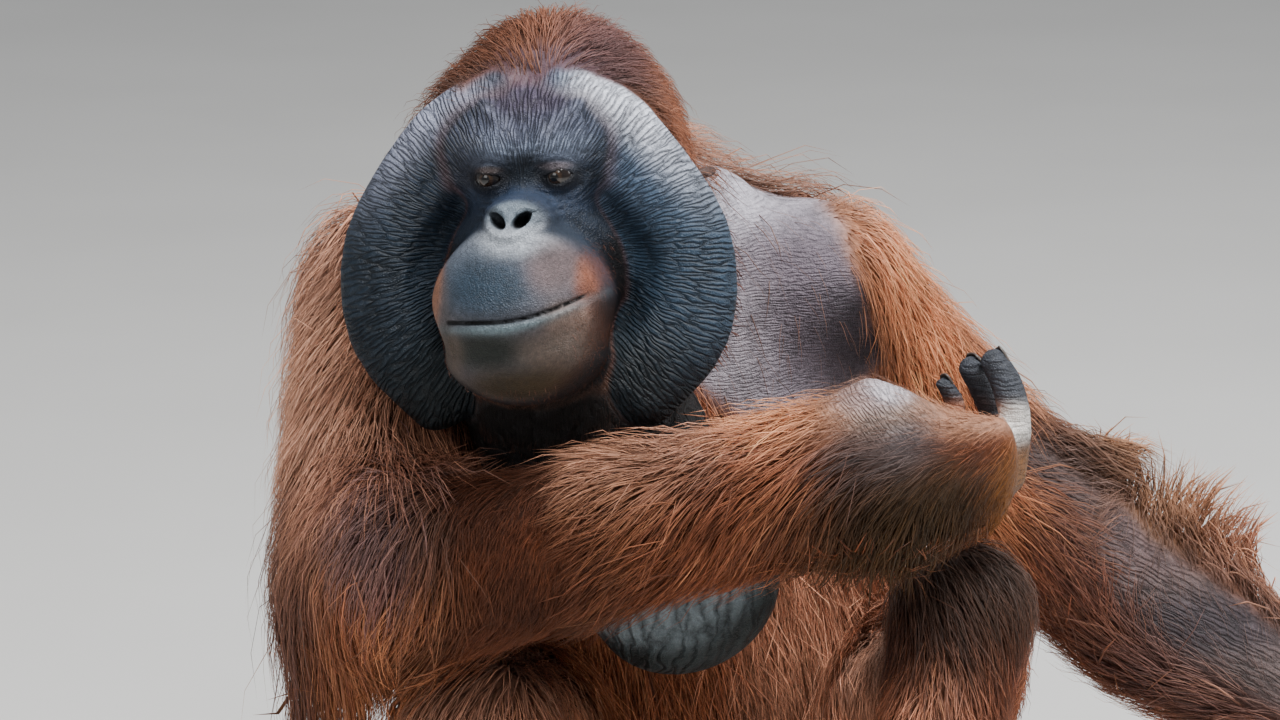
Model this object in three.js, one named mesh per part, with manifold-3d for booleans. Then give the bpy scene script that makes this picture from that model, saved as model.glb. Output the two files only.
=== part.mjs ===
// Adult flanged male orangutan sitting on the ground, life size, out to the tips of its coat.
// Millimetres, +Z up. The animal faces -Y, turned a little to -X, and sits on the plane z = 0.
// Its right forearm lies across its knees and its left arm is propped on the ground to +X.
import * as THREE from "three";
import { mergeVertices } from "three/addons/utils/BufferGeometryUtils.js";
import Module from "manifold-3d";

const wasm = await Module();
wasm.setup();

// Clearance between neighbouring pieces, and the floor that the flats are cut at.
const GAP = 0.3;
const FLOOR_CUT = 900;

// Trunk: from the rump up the hunched back to the root of the neck, with the shoulder
// girdle laid across its top.
const RUMP = [-30, 40, 57];
const BELLY = [-38, 38, 210];
const RIBS = [-58, 12, 350];
const SHOULDERS = [-78, -18, 470];
const NECK_ROOT = [-98, -62, 552];
const GIRDLE_RIGHT = [-218, -8, 474];
const GIRDLE_MIDDLE = [-90, 24, 478];
const GIRDLE_LEFT = [36, 12, 474];
const TRUNK_HALF_WIDTHS = [150, 178, 184, 178, 112];
const TRUNK_HALF_DEPTHS = [138, 165, 168, 138, 92];

// Arm joints. A humerus is about 340, a forearm about 360.
const SHOULDER_RIGHT = [-266, -42, 507];
const ELBOW_RIGHT = [-258, -305, 327];
const ELBOW_CURTAIN = [-312, -285, 222];
const WRIST_RIGHT = [107, -322, 423];
const SHOULDER_LEFT = [66, -30, 497];
const ELBOW_LEFT = [260, 112, 254];
const WRIST_LEFT = [534, 98, 58];

// Leg joints. A femur is about 285, a shin about 255.
const HIP_RIGHT = [-160, -10, 105];
const KNEE_RIGHT = [-190, -275, 193];
const ANKLE_RIGHT = [-125, -430, 62];
const HIP_LEFT = [108, 4, 105];
const KNEE_LEFT = [172, -258, 280];
const ANKLE_LEFT = [100, -438, 62];

// Head: centre of the skull behind the eyes, and how the face is turned, raised and tilted.
const HEAD_CENTRE = [-147, -221, 592];
const HEAD_YAW = 10;
const HEAD_PITCH = 9;
const HEAD_ROLL = 4;
const EYE_RADIUS = 11.5;
const EYE_ASIDE = 26;
const EYE_MIDDLE = -1;
const EYE_UP = 25.3;
const EYE_FORWARD = 68;

// Ears: where each leaves the skull and where it ends, as aside, up and forward of the skull,
// aside being measured from a line left of the middle.
const EAR_MIDDLE = 8;
const EAR_BASE = [60, 6, -38];
const EAR_TIP = [110, 20, -50];

// Cheek pads: a ring of dished lobes round the face, measured from a point below the eyes.
const PAD_DROP = -30;
const PAD_RIM_TOP = 132;
const PAD_RIM_LOW = 160;
const PAD_INNER_TOP = 62;
const PAD_INNER_LOW = 84;
const PAD_THICKNESS = 46;
const PAD_FORWARD = 38;
const PAD_START = 11;
const PAD_END = 146;

// Digits, from the knuckle outwards.
const FINGER_RADIUS = 13;
// Thickness of the index, middle, ring and little fingers and the thumb, as shares of a finger's.
const DIGIT_SIZES = [1, 0.95, 0.9, 0.85, 0.62];
const TOE_RADIUS = 12;

const rad = THREE.MathUtils.degToRad;
const point = (xyz) => new THREE.Vector3(...xyz);
const X_AXIS = new THREE.Vector3(1, 0, 0);
const Y_AXIS = new THREE.Vector3(0, 1, 0);
const Z_AXIS = new THREE.Vector3(0, 0, 1);

// Value of a smooth line through evenly spaced values, at 0 to 1 along it.
function smoothLine(values) {
  const curve = new THREE.SplineCurve(values.map((value, i) => new THREE.Vector2(i, value)));
  return (u) => curve.getPoint(u).y;
}

// Value of (|cos|, |sin|) raised so that an oval gets squarer sides.
function squared(value, power) {
  return Math.sign(value) * Math.abs(value) ** (2 / power);
}

// Closed mesh from rings of points, each ring joined to the next, with a pole at each end.
function ringsToGeometry(rings, firstPole, lastPole) {
  const around = rings[0].length;
  const points = [firstPole, ...rings.flat(), lastPole];
  const ringStart = (j) => 1 + j * around;
  const last = points.length - 1;
  const faces = [];
  for (let i = 0; i < around; i += 1) {
    const next = (i + 1) % around;
    faces.push(0, ringStart(0) + next, ringStart(0) + i);
    for (let j = 0; j + 1 < rings.length; j += 1) {
      const a = ringStart(j) + i;
      const b = ringStart(j) + next;
      const c = ringStart(j + 1) + next;
      const d = ringStart(j + 1) + i;
      faces.push(a, b, c, a, c, d);
    }
    faces.push(last, ringStart(rings.length - 1) + i, ringStart(rings.length - 1) + next);
  }
  const geometry = new THREE.BufferGeometry();
  const flat = points.flatMap((p) => [p.x, p.y, p.z]);
  geometry.setAttribute("position", new THREE.Float32BufferAttribute(flat, 3));
  geometry.setIndex(faces);
  return geometry;
}

// Limb of oval rings along a smooth path, with domed ends. `side` is the direction of the
// half widths, fixed or given as a function of the place along the path.
function limb(path, widths, depths, options = {}) {
  const { side = X_AXIS, grow = 0, rings = 5, around = 12, dome = 0.7, power = 2 } = options;
  const { domeRings = 3 } = options;
  const curve = new THREE.CatmullRomCurve3(path.map((p) => (p.isVector3 ? p : point(p))));
  const width = smoothLine(widths);
  const depth = smoothLine(depths);
  const list = [];
  const ringAt = (u, shrink, along) => {
    const tangent = curve.getTangent(u);
    const across = (typeof side === "function" ? side(u) : side).clone();
    across.addScaledVector(tangent, -across.dot(tangent)).normalize();
    const upward = new THREE.Vector3().crossVectors(tangent, across);
    const centre = curve.getPoint(u).addScaledVector(tangent, along);
    const ring = [];
    for (let i = 0; i < around; i += 1) {
      const angle = (2 * Math.PI * i) / around;
      const w = (width(u) + grow) * shrink * squared(Math.cos(angle), power);
      const d = (depth(u) + grow) * shrink * squared(Math.sin(angle), power);
      ring.push(centre.clone().addScaledVector(across, w).addScaledVector(upward, d));
    }
    return ring;
  };
  const domeLength = (u) => dome * Math.min(width(u), depth(u)) + grow;
  const pole = (u, sense) => {
    const tangent = curve.getTangent(u);
    return curve.getPoint(u).addScaledVector(tangent, sense * domeLength(u));
  };
  for (let k = domeRings - 1; k >= 1; k -= 1) {
    const angle = (k * Math.PI) / 2 / domeRings;
    list.push(ringAt(0, Math.cos(angle), -domeLength(0) * Math.sin(angle)));
  }
  for (let j = 0; j < rings; j += 1) {
    list.push(ringAt(j / (rings - 1), 1, 0));
  }
  for (let k = 1; k < domeRings; k += 1) {
    const angle = (k * Math.PI) / 2 / domeRings;
    list.push(ringAt(1, Math.cos(angle), domeLength(1) * Math.sin(angle)));
  }
  return ringsToGeometry(list, pole(0, -1), pole(1, 1));
}

// Solid of a closed geometry whose faces point out.
function solid(geometry) {
  const bare = geometry.clone();
  bare.deleteAttribute("normal");
  bare.deleteAttribute("uv");
  const merged = mergeVertices(bare, 1e-4);
  return new wasm.Manifold(
    new wasm.Mesh({
      numProp: 3,
      vertProperties: new Float32Array(merged.attributes.position.array),
      triVerts: new Uint32Array(merged.index.array),
    }),
  );
}

// Geometry of a solid.
function geometryOf(body) {
  const mesh = body.getMesh();
  const geometry = new THREE.BufferGeometry();
  geometry.setAttribute("position", new THREE.BufferAttribute(mesh.vertProperties, 3));
  geometry.setIndex(new THREE.BufferAttribute(mesh.triVerts, 1));
  geometry.computeVertexNormals();
  return geometry;
}

// Places in the head's own axes: aside (to the animal's left), up, and forward.
function headMatrix() {
  const turn = new THREE.Matrix4().makeRotationZ(rad(-HEAD_YAW));
  const raise = new THREE.Matrix4().makeRotationX(rad(-HEAD_PITCH));
  const tilt = new THREE.Matrix4().makeRotationY(rad(-HEAD_ROLL));
  const basis = new THREE.Matrix4().makeBasis(X_AXIS, Z_AXIS, Y_AXIS.clone().negate());
  const matrix = new THREE.Matrix4().makeTranslation(...HEAD_CENTRE);
  return matrix.multiply(turn).multiply(raise).multiply(tilt).multiply(basis);
}

const HEAD = headMatrix();
const onHead = (aside, up, forward) => new THREE.Vector3(aside, up, forward).applyMatrix4(HEAD);
const HEAD_ASIDE = new THREE.Vector3().setFromMatrixColumn(HEAD, 0);
const HEAD_UP = new THREE.Vector3().setFromMatrixColumn(HEAD, 1);
const HEAD_FORWARD = new THREE.Vector3().setFromMatrixColumn(HEAD, 2);

// Lobes whose smooth union is the head, as centre and half sizes in the head's own axes.
const HEAD_LOBES = [
  { centre: [3, 57, -46], half: [86, 96, 90] },
  { centre: [34, 36, -68], half: [78, 84, 70] },
  { centre: [0, 0, -10], half: [78, 92, 78] },
  { centre: [0, 52, 40], half: [62, 26, 30] },
  { centre: [0, 30, 10], half: [100, 74, 36] },
  { centre: [-8, -68, 86], half: [59, 57, 84] },
  { centre: [-3, -94, 78], half: [54, 46, 80] },
  { centre: [2, -6, 112], half: [22, 16, 26] },
];
const LOBE_BLEND = 14;

// Distance-like value of the head's surface at a place in the head's own axes.
function headField(place) {
  let sum = 0;
  for (const lobe of HEAD_LOBES) {
    const offset = place.clone().sub(point(lobe.centre));
    const scaled = offset.clone().divide(point(lobe.half));
    const steep = scaled.clone().divide(point(lobe.half));
    const length = scaled.length();
    const distance = (length * (length - 1)) / Math.max(steep.length(), 1e-6);
    sum += Math.exp(-distance / LOBE_BLEND);
  }
  return -LOBE_BLEND * Math.log(sum);
}

// Head as a ball whose points are moved out along their rays to the lobes' surface.
function headGeometry(grow) {
  const core = new THREE.Vector3(0, 0, 10);
  const ball = new THREE.SphereGeometry(1, 22, 16).toNonIndexed();
  ball.deleteAttribute("normal");
  ball.deleteAttribute("uv");
  const geometry = mergeVertices(ball, 1e-5);
  const position = geometry.attributes.position;
  for (let i = 0; i < position.count; i += 1) {
    const ray = new THREE.Vector3().fromBufferAttribute(position, i).normalize();
    let inside = 0;
    let outside = 260;
    for (let step = 0; step < 24; step += 1) {
      const middle = (inside + outside) / 2;
      if (headField(core.clone().addScaledVector(ray, middle)) < grow) {
        inside = middle;
      } else {
        outside = middle;
      }
    }
    const place = core.clone().addScaledVector(ray, inside);
    position.setXYZ(i, place.x, place.y, place.z);
  }
  return geometry.applyMatrix4(HEAD);
}

// Cheek pad of one side (+1 the animal's left): an arc of flat ovals from brow to throat.
function padGeometry(sign, grow) {
  const count = 6;
  const path = [];
  const widths = [];
  const depths = [];
  const angleAt = (u) => rad(THREE.MathUtils.lerp(PAD_START, PAD_END, u));
  for (let i = 0; i < count; i += 1) {
    const u = i / (count - 1);
    const low = THREE.MathUtils.smoothstep(u, 0.3, 0.85);
    const rim = THREE.MathUtils.lerp(PAD_RIM_TOP, PAD_RIM_LOW, low);
    const inner = THREE.MathUtils.lerp(PAD_INNER_TOP, PAD_INNER_LOW, low);
    const middle = (rim + inner) / 2;
    const angle = angleAt(u);
    path.push(onHead(sign * middle * Math.sin(angle), PAD_DROP + middle * Math.cos(angle), PAD_FORWARD));
    widths.push((rim - inner) / 2);
    depths.push((PAD_THICKNESS / 2) * (1 - 0.25 * (1 - u)));
  }
  const side = (u) => {
    const angle = angleAt(u);
    return HEAD_ASIDE.clone().multiplyScalar(sign * Math.sin(angle)).addScaledVector(HEAD_UP, Math.cos(angle));
  };
  return limb(path, widths, depths, { side, grow, rings: 9, around: 10, dome: 1.1, power: 2.4 });
}

// Eyeball of one side.
function eyeGeometry(sign, grow) {
  const ball = new THREE.SphereGeometry(EYE_RADIUS + grow, 10, 7);
  const place = onHead(EYE_MIDDLE + sign * EYE_ASIDE, EYE_UP, EYE_FORWARD);
  return ball.translate(place.x, place.y, place.z);
}

// Small ear shell of one side, close to the head behind the cheek pad.
function earGeometry(sign, grow) {
  const [base, tip] = [EAR_BASE, EAR_TIP].map(([aside, up, forward]) => onHead(EAR_MIDDLE + sign * aside, up, forward));
  return limb([base, tip], [15, 17], [7, 6], { side: HEAD_FORWARD, grow, rings: 3, around: 8, dome: 1.5, domeRings: 2 });
}

// Digit of four knuckle points, tapering to a rounded tip.
function digit(points, radius, grow, rings = 4) {
  const radii = [1.08, 1, 0.98, 0.84].map((share) => share * radius);
  return limb(points, radii, radii, { side: Z_AXIS.clone().add(X_AXIS), grow, rings, around: 6, dome: 0.9, domeRings: 2 });
}

// Right hand: a cupped palm turned up and away, its digits curled upwards.
function rightHand(grow) {
  const palm = [[107, -322, 418], [144, -318, 408], [188, -306, 408]];
  const parts = [limb(palm, [62, 60, 50], [36, 38, 29], { side: point([0.1, -0.35, 0.93]), grow, around: 10 })];
  const digits = [
    [[200, -300, 402], [205, -300, 442], [199, -290, 470], [189, -284, 487]],
    [[194, -280, 396], [193, -262, 436], [183, -262, 462], [173, -268, 478]],
    [[188, -262, 384], [190, -238, 408], [176, -230, 418], [158, -240, 420]],
    [[176, -250, 372], [180, -226, 388], [166, -218, 400], [150, -228, 404]],
    [[150, -290, 424], [160, -292, 440], [160, -294, 458], [151, -296, 473]],
  ];
  digits.forEach((points, i) => {
    parts.push(digit(points, FINGER_RADIUS * DIGIT_SIZES[i], grow));
  });
  return parts;
}

// Left hand: laid on the ground beyond the wrist, the fingers a little arched.
function leftHand(grow) {
  const knuckles = [612, 112, 25];
  const palm = [WRIST_LEFT, [576, 104, 33], knuckles];
  const parts = [limb(palm, [38, 46, 46], [34, 35, 27], { side: Y_AXIS, grow, around: 8 })];
  for (let i = 0; i < 4; i += 1) {
    const spread = i - 1.5;
    const reach = 1 - 0.06 * Math.abs(i - 1);
    const step = (along, up) => [
      knuckles[0] + along * reach,
      knuckles[1] + spread * 21 + along * (0.16 + spread * 0.07),
      up,
    ];
    parts.push(digit([step(8, 26), step(50, 32), step(86, 22), step(112, 11)], FINGER_RADIUS, grow));
  }
  parts.push(digit([[566, 66, 32], [584, 52, 28], [598, 43, 19], [608, 38, 12]], FINGER_RADIUS, grow));
  return parts;
}

// Foot: sole from heel to ball, four long toes curled forwards and a short inner one.
function foot(ankle, outward, sign, grow) {
  const heading = new THREE.Vector3(Math.sin(rad(outward)) * sign, -Math.cos(rad(outward)), 0);
  const across = new THREE.Vector3(-heading.y, heading.x, 0);
  const place = (along, aside, up) =>
    point([ankle[0], ankle[1], up]).addScaledVector(heading, along).addScaledVector(across, aside * sign);
  const sole = [place(-32, 0, 32), place(30, 0, 36), place(100, 0, 25)];
  const parts = [limb(sole, [36, 42, 44], [36, 40, 26], { side: across, grow, around: 10 })];
  for (let i = 0; i < 4; i += 1) {
    const aside = (i - 1.5) * 20;
    const reach = 1 - 0.08 * Math.abs(i - 1.2);
    const points = [
      place(110 * reach, aside, 30),
      place(152 * reach, aside * 1.1, 38),
      place(184 * reach, aside * 1.15, 26),
      place(196 * reach, aside * 1.15, 11),
    ];
    parts.push(digit(points, TOE_RADIUS, grow, 3));
  }
  const inner = [place(20, -34, 26), place(44, -54, 26), place(62, -66, 20), place(74, -72, 13)];
  parts.push(digit(inner, TOE_RADIUS, grow, 3));
  return parts;
}

// Pieces in order: each one is cut clear of those before it. `make` gives the geometries
// that are joined into the piece, grown by a margin.
const PIECES = [
  { name: "eye_right", colour: 0x3a2314, roughness: 0.2, make: (g) => [eyeGeometry(-1, g)] },
  { name: "eye_left", colour: 0x3a2314, roughness: 0.2, make: (g) => [eyeGeometry(1, g)] },
  { name: "head", colour: 0x6b5f5c, roughness: 0.75, make: (g) => [headGeometry(g)] },
  { name: "cheek_pad_right", colour: 0x3f464c, roughness: 0.7, make: (g) => [padGeometry(-1, g)] },
  { name: "cheek_pad_left", colour: 0x3f464c, roughness: 0.7, make: (g) => [padGeometry(1, g)] },
  { name: "ear_right", colour: 0x4a4040, roughness: 0.8, make: (g) => [earGeometry(-1, g)] },
  { name: "ear_left", colour: 0x4a4040, roughness: 0.8, make: (g) => [earGeometry(1, g)] },
  {
    name: "trunk",
    colour: 0x8a4526,
    roughness: 0.95,
    make: (g) => [
      limb([RUMP, BELLY, RIBS, SHOULDERS, NECK_ROOT], TRUNK_HALF_WIDTHS, TRUNK_HALF_DEPTHS, {
        side: point([0.95, 0.31, 0]),
        grow: g,
        rings: 9,
        around: 16,
        dome: 0.5,
        power: 2.2,
      }),
      limb([GIRDLE_RIGHT, GIRDLE_MIDDLE, GIRDLE_LEFT], [92, 112, 88], [88, 106, 84], {
        side: Z_AXIS,
        grow: g,
      }),
    ],
  },
  {
    name: "throat_pouch",
    colour: 0x77716b,
    roughness: 0.8,
    make: (g) => [
      limb([[-132, -250, 465], [-95, -230, 380], [-40, -205, 290]], [82, 88, 76], [66, 72, 64], {
        grow: g,
        around: 10,
        dome: 1,
        domeRings: 2,
      }),
    ],
  },
  {
    name: "neck",
    colour: 0x8a4526,
    roughness: 0.95,
    make: (g) => [
      limb([[-92, -10, 530], [-132, -125, 575]], [108, 84], [86, 84], { grow: g, rings: 3 }),
    ],
  },
  {
    name: "upper_arm_right",
    colour: 0x96492a,
    roughness: 0.95,
    make: (g) => [
      limb([SHOULDER_RIGHT, [-270, -160, 425], [-274, -280, 315], ELBOW_CURTAIN], [80, 88, 88, 48], [76, 80, 82, 48], {
        grow: g,
        rings: 8,
      }),
    ],
  },
  {
    name: "upper_arm_left",
    colour: 0x96492a,
    roughness: 0.95,
    make: (g) => [
      limb([SHOULDER_LEFT, [152, 32, 392], ELBOW_LEFT], [74, 66, 74], [78, 66, 74], { side: Y_AXIS, grow: g }),
    ],
  },
  {
    name: "hand_right",
    colour: 0x6a6462,
    roughness: 0.8,
    make: rightHand,
  },
  {
    name: "hand_left",
    colour: 0x4a4544,
    roughness: 0.8,
    make: leftHand,
  },
  {
    name: "forearm_right",
    colour: 0xa04f2a,
    roughness: 0.95,
    make: (g) => [
      limb([ELBOW_RIGHT, [-130, -330, 356], [0, -330, 390], WRIST_RIGHT], [84, 76, 64, 68], [70, 62, 52, 46], {
        side: Z_AXIS,
        grow: g,
        rings: 8,
        around: 14,
      }),
    ],
  },
  {
    name: "forearm_left",
    colour: 0x7d4a35,
    roughness: 0.95,
    make: (g) => [
      limb([ELBOW_LEFT, [350, 110, 180], [445, 104, 118], WRIST_LEFT], [70, 72, 60, 42], [72, 80, 64, 42], {
        side: Y_AXIS,
        grow: g,
        rings: 8,
      }),
    ],
  },
  {
    name: "thigh_right",
    colour: 0x83432a,
    roughness: 0.95,
    make: (g) => [
      limb([HIP_RIGHT, [-182, -150, 152], KNEE_RIGHT], [80, 74, 62], [84, 78, 62], { grow: g, around: 10 }),
    ],
  },
  {
    name: "thigh_left",
    colour: 0x83432a,
    roughness: 0.95,
    make: (g) => [
      limb([HIP_LEFT, [164, -132, 194], KNEE_LEFT], [80, 64, 54], [84, 70, 54], { grow: g, around: 10 }),
    ],
  },
  {
    name: "foot_right",
    colour: 0x4a4544,
    roughness: 0.85,
    make: (g) => foot(ANKLE_RIGHT, 14, -1, g),
  },
  {
    name: "foot_left",
    colour: 0x4a4544,
    roughness: 0.85,
    make: (g) => foot(ANKLE_LEFT, 14, 1, g),
  },
  {
    name: "shin_right",
    colour: 0x83432a,
    roughness: 0.95,
    make: (g) => [limb([KNEE_RIGHT, [-162, -345, 140], ANKLE_RIGHT], [60, 58, 42], [60, 60, 42], { grow: g, around: 10 })],
  },
  {
    name: "shin_left",
    colour: 0x83432a,
    roughness: 0.95,
    make: (g) => [limb([KNEE_LEFT, [142, -340, 170], ANKLE_LEFT], [52, 52, 42], [52, 54, 42], { grow: g, around: 10 })],
  },
];

// Solid of a piece grown by a margin, with its parts joined.
function joined(piece, grow) {
  return piece.make(grow).map(solid).reduce((whole, part) => whole.add(part));
}

// Whether the boxes of two solids meet.
function boxesMeet(a, b) {
  const p = a.boundingBox();
  const q = b.boundingBox();
  return [0, 1, 2].every((k) => p.min[k] < q.max[k] && q.min[k] < p.max[k]);
}

const floorBlock = solid(
  new THREE.BoxGeometry(2 * FLOOR_CUT, 2 * FLOOR_CUT, FLOOR_CUT).translate(0, 0, -FLOOR_CUT / 2),
);

const group = new THREE.Group();
const margins = [];
for (const piece of PIECES) {
  let body = joined(piece, 0).subtract(floorBlock);
  for (const margin of margins) {
    if (boxesMeet(body, margin)) {
      body = body.subtract(margin);
    }
  }
  margins.push(joined(piece, GAP));
  const material = new THREE.MeshStandardMaterial({
    color: piece.colour,
    roughness: piece.roughness,
    metalness: 0,
  });
  const mesh = new THREE.Mesh(geometryOf(body), material);
  mesh.name = piece.name;
  group.add(mesh);
}

// The origin is under the middle of the whole, at floor level.
const box = new THREE.Box3().setFromObject(group);
const middle = box.getCenter(new THREE.Vector3());
group.position.set(-middle.x, -middle.y, -box.min.z);

export default group;
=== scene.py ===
"""Looks of the sitting flanged male orangutan: one skin, its coat, eyes and nails.

Shapes are worked out in millimetres on the animal's own plan and put into Blender in
metres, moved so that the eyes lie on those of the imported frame.
"""

import logging
import math
from dataclasses import dataclass, field
from enum import Enum
from typing import Callable, Iterator, Sequence

import bpy
import numpy as np
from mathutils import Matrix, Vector


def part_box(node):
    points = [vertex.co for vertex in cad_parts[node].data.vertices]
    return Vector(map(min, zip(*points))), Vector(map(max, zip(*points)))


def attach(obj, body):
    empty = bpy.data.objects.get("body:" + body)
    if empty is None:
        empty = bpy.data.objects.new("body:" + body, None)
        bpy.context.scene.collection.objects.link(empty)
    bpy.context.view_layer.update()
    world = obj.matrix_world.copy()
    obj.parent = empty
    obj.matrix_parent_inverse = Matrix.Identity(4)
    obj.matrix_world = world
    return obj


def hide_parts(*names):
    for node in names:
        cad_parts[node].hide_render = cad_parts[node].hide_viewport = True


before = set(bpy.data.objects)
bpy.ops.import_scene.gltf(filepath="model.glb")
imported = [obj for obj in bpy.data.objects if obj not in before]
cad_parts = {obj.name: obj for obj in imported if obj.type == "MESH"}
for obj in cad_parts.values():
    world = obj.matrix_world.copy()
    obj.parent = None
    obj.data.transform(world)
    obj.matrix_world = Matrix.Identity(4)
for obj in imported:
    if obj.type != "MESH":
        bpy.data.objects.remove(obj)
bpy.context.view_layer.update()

LOG = logging.getLogger("orangutan")
Array = np.ndarray
Place = tuple[float, float, float]
Shares = dict[str, Array]
Socket = bpy.types.NodeSocket
Piece = bpy.types.Object
Finish = bpy.types.Material

MM = 0.001
ROOT = "root"
BAKE_MAP = "OFBake"
COLOUR_LAYER = "tint"
GRAIN_LAYER = "grain"
PORE_LAYER = "pores"
FAR = 500.0
LOW_BITS = 0x7FFFFFFF
DOWN = np.array([0.0, 0.0, -1.0])
LIMB_FADE = 9.0
NAKED_KINDS = ("face", "pad", "pouch", "palm", "chest", "inner", "wrist")


def rgb(red: int, green: int, blue: int) -> Array:
    """Linear colour of a display colour given as three numbers up to 255.

    Args:
        red: Red part.
        green: Green part.
        blue: Blue part.

    Returns:
        Three linear values from 0 to 1.
    """
    value = np.array([red, green, blue]) / 255.0
    return np.where(value <= 0.04045, value / 12.92, ((value + 0.055) / 1.055) ** 2.4)


def unit(vectors: Array) -> Array:
    """Vectors scaled to length one along their last axis."""
    length = np.linalg.norm(vectors, axis=-1, keepdims=True)
    return vectors / np.maximum(length, 1e-9)


def ease(low: float, high: float, value: Array) -> Array:
    """Share from 0 at low to 1 at high, with level ends (three t squared less two t cubed)."""
    t = np.clip((value - low) / (high - low), 0.0, 1.0)
    return t * t * (3.0 - 2.0 * t)


def bump(value: Array, centre: float, spread: float) -> Array:
    """Bell curve of one at the centre: e to the minus half the squared distance in spreads."""
    return np.exp(-0.5 * ((value - centre) / spread) ** 2)


def smooth_line(values: Sequence, u: Array) -> Array:
    """Smooth line through evenly spaced values, by the Catmull-Rom cubic of four neighbours.

    Args:
        values: Numbers or points, evenly spaced from 0 to 1.
        u: Places from 0 to 1.

    Returns:
        The line's values at those places.
    """
    knots = np.asarray(values, float)
    last = len(knots) - 1
    x = np.clip(u, 0.0, 1.0) * last
    i = np.minimum(x.astype(int), last - 1)
    f = x - i
    if knots.ndim > 1:
        f = f[..., None]
    before = np.concatenate([[2 * knots[0] - knots[1]], knots, [2 * knots[-1] - knots[-2]]])
    a, b, c, d = (before[i + k] for k in range(4))
    return b + 0.5 * f * (c - a + f * (2 * a - 5 * b + 4 * c - d + f * (3 * (b - c) + d - a)))


def smooth_min(a: Array, b: Array, reach: Array | float) -> Array:
    """Lower of two distances, rounded where they differ by less than reach.

    Args:
        a: First distances.
        b: Second distances.
        reach: Width of the rounding.

    Returns:
        The rounded lower distances.
    """
    h = np.maximum(reach - np.abs(a - b), 0.0) / reach
    return np.minimum(a, b) - 0.25 * h * h * reach


def mixed(colours: Array, share: Array, colour: Array) -> Array:
    """Colours with others laid over them by a share for each."""
    return colours * (1 - share[:, None]) + colour * share[:, None]


def summed(number: Array, rows: Array, count: int) -> Array:
    """Sum of the rows that share a number, for each number up to a count."""
    return np.stack([np.bincount(number, rows[:, k], count) for k in range(rows.shape[1])], axis=1)


def cell_corners(f: Array) -> Iterator[tuple[Array, Array]]:
    """Eight corners of a lattice cell, each with its straight weight at places in the cell."""
    for corner in range(8):
        step = np.array([corner & 1, (corner >> 1) & 1, (corner >> 2) & 1])
        yield step, np.prod(np.where(step == 1, f, 1 - f), axis=1)


def value_noise(points: Array, scale: float, seed: int) -> Array:
    """Smooth random field from -1 to 1: random corners of a lattice, eased between.

    Args:
        points: Places, one per row.
        scale: Size of a lattice cell, in the units of the places.
        seed: Which field.

    Returns:
        One value for each place.
    """
    q = points / scale
    cell = np.floor(q).astype(np.int64)
    f = q - cell
    f = f * f * (3 - 2 * f)
    total = np.zeros(len(points))
    for step, weight in cell_corners(f):
        key = (cell + step) * np.array([73856093, 19349663, 83492791])
        draw = (key[:, 0] ^ key[:, 1] ^ key[:, 2] ^ (seed * 2654435761)) & LOW_BITS
        draw = (draw * 1103515245 + 12345) & LOW_BITS
        draw = (draw ^ (draw >> 13)) * 1274126177 & LOW_BITS
        total += (draw / float(LOW_BITS) * 2 - 1) * weight
    return total


class Flow(Enum):
    """Which way the hair of a limb lies along its path."""

    OUTWARD = 1
    INWARD = -1
    DOWN = 0


@dataclass(frozen=True)
class CoatKind:
    """Length, lie and colour of the coat on one part of the body."""

    length: float = 60.0
    depth: float = 24.0
    flow: Flow = Flow.OUTWARD
    droop: float = 0.5
    density: float = 1.0
    warmth: float = 0.5
    shade: float = 1.0


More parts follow.
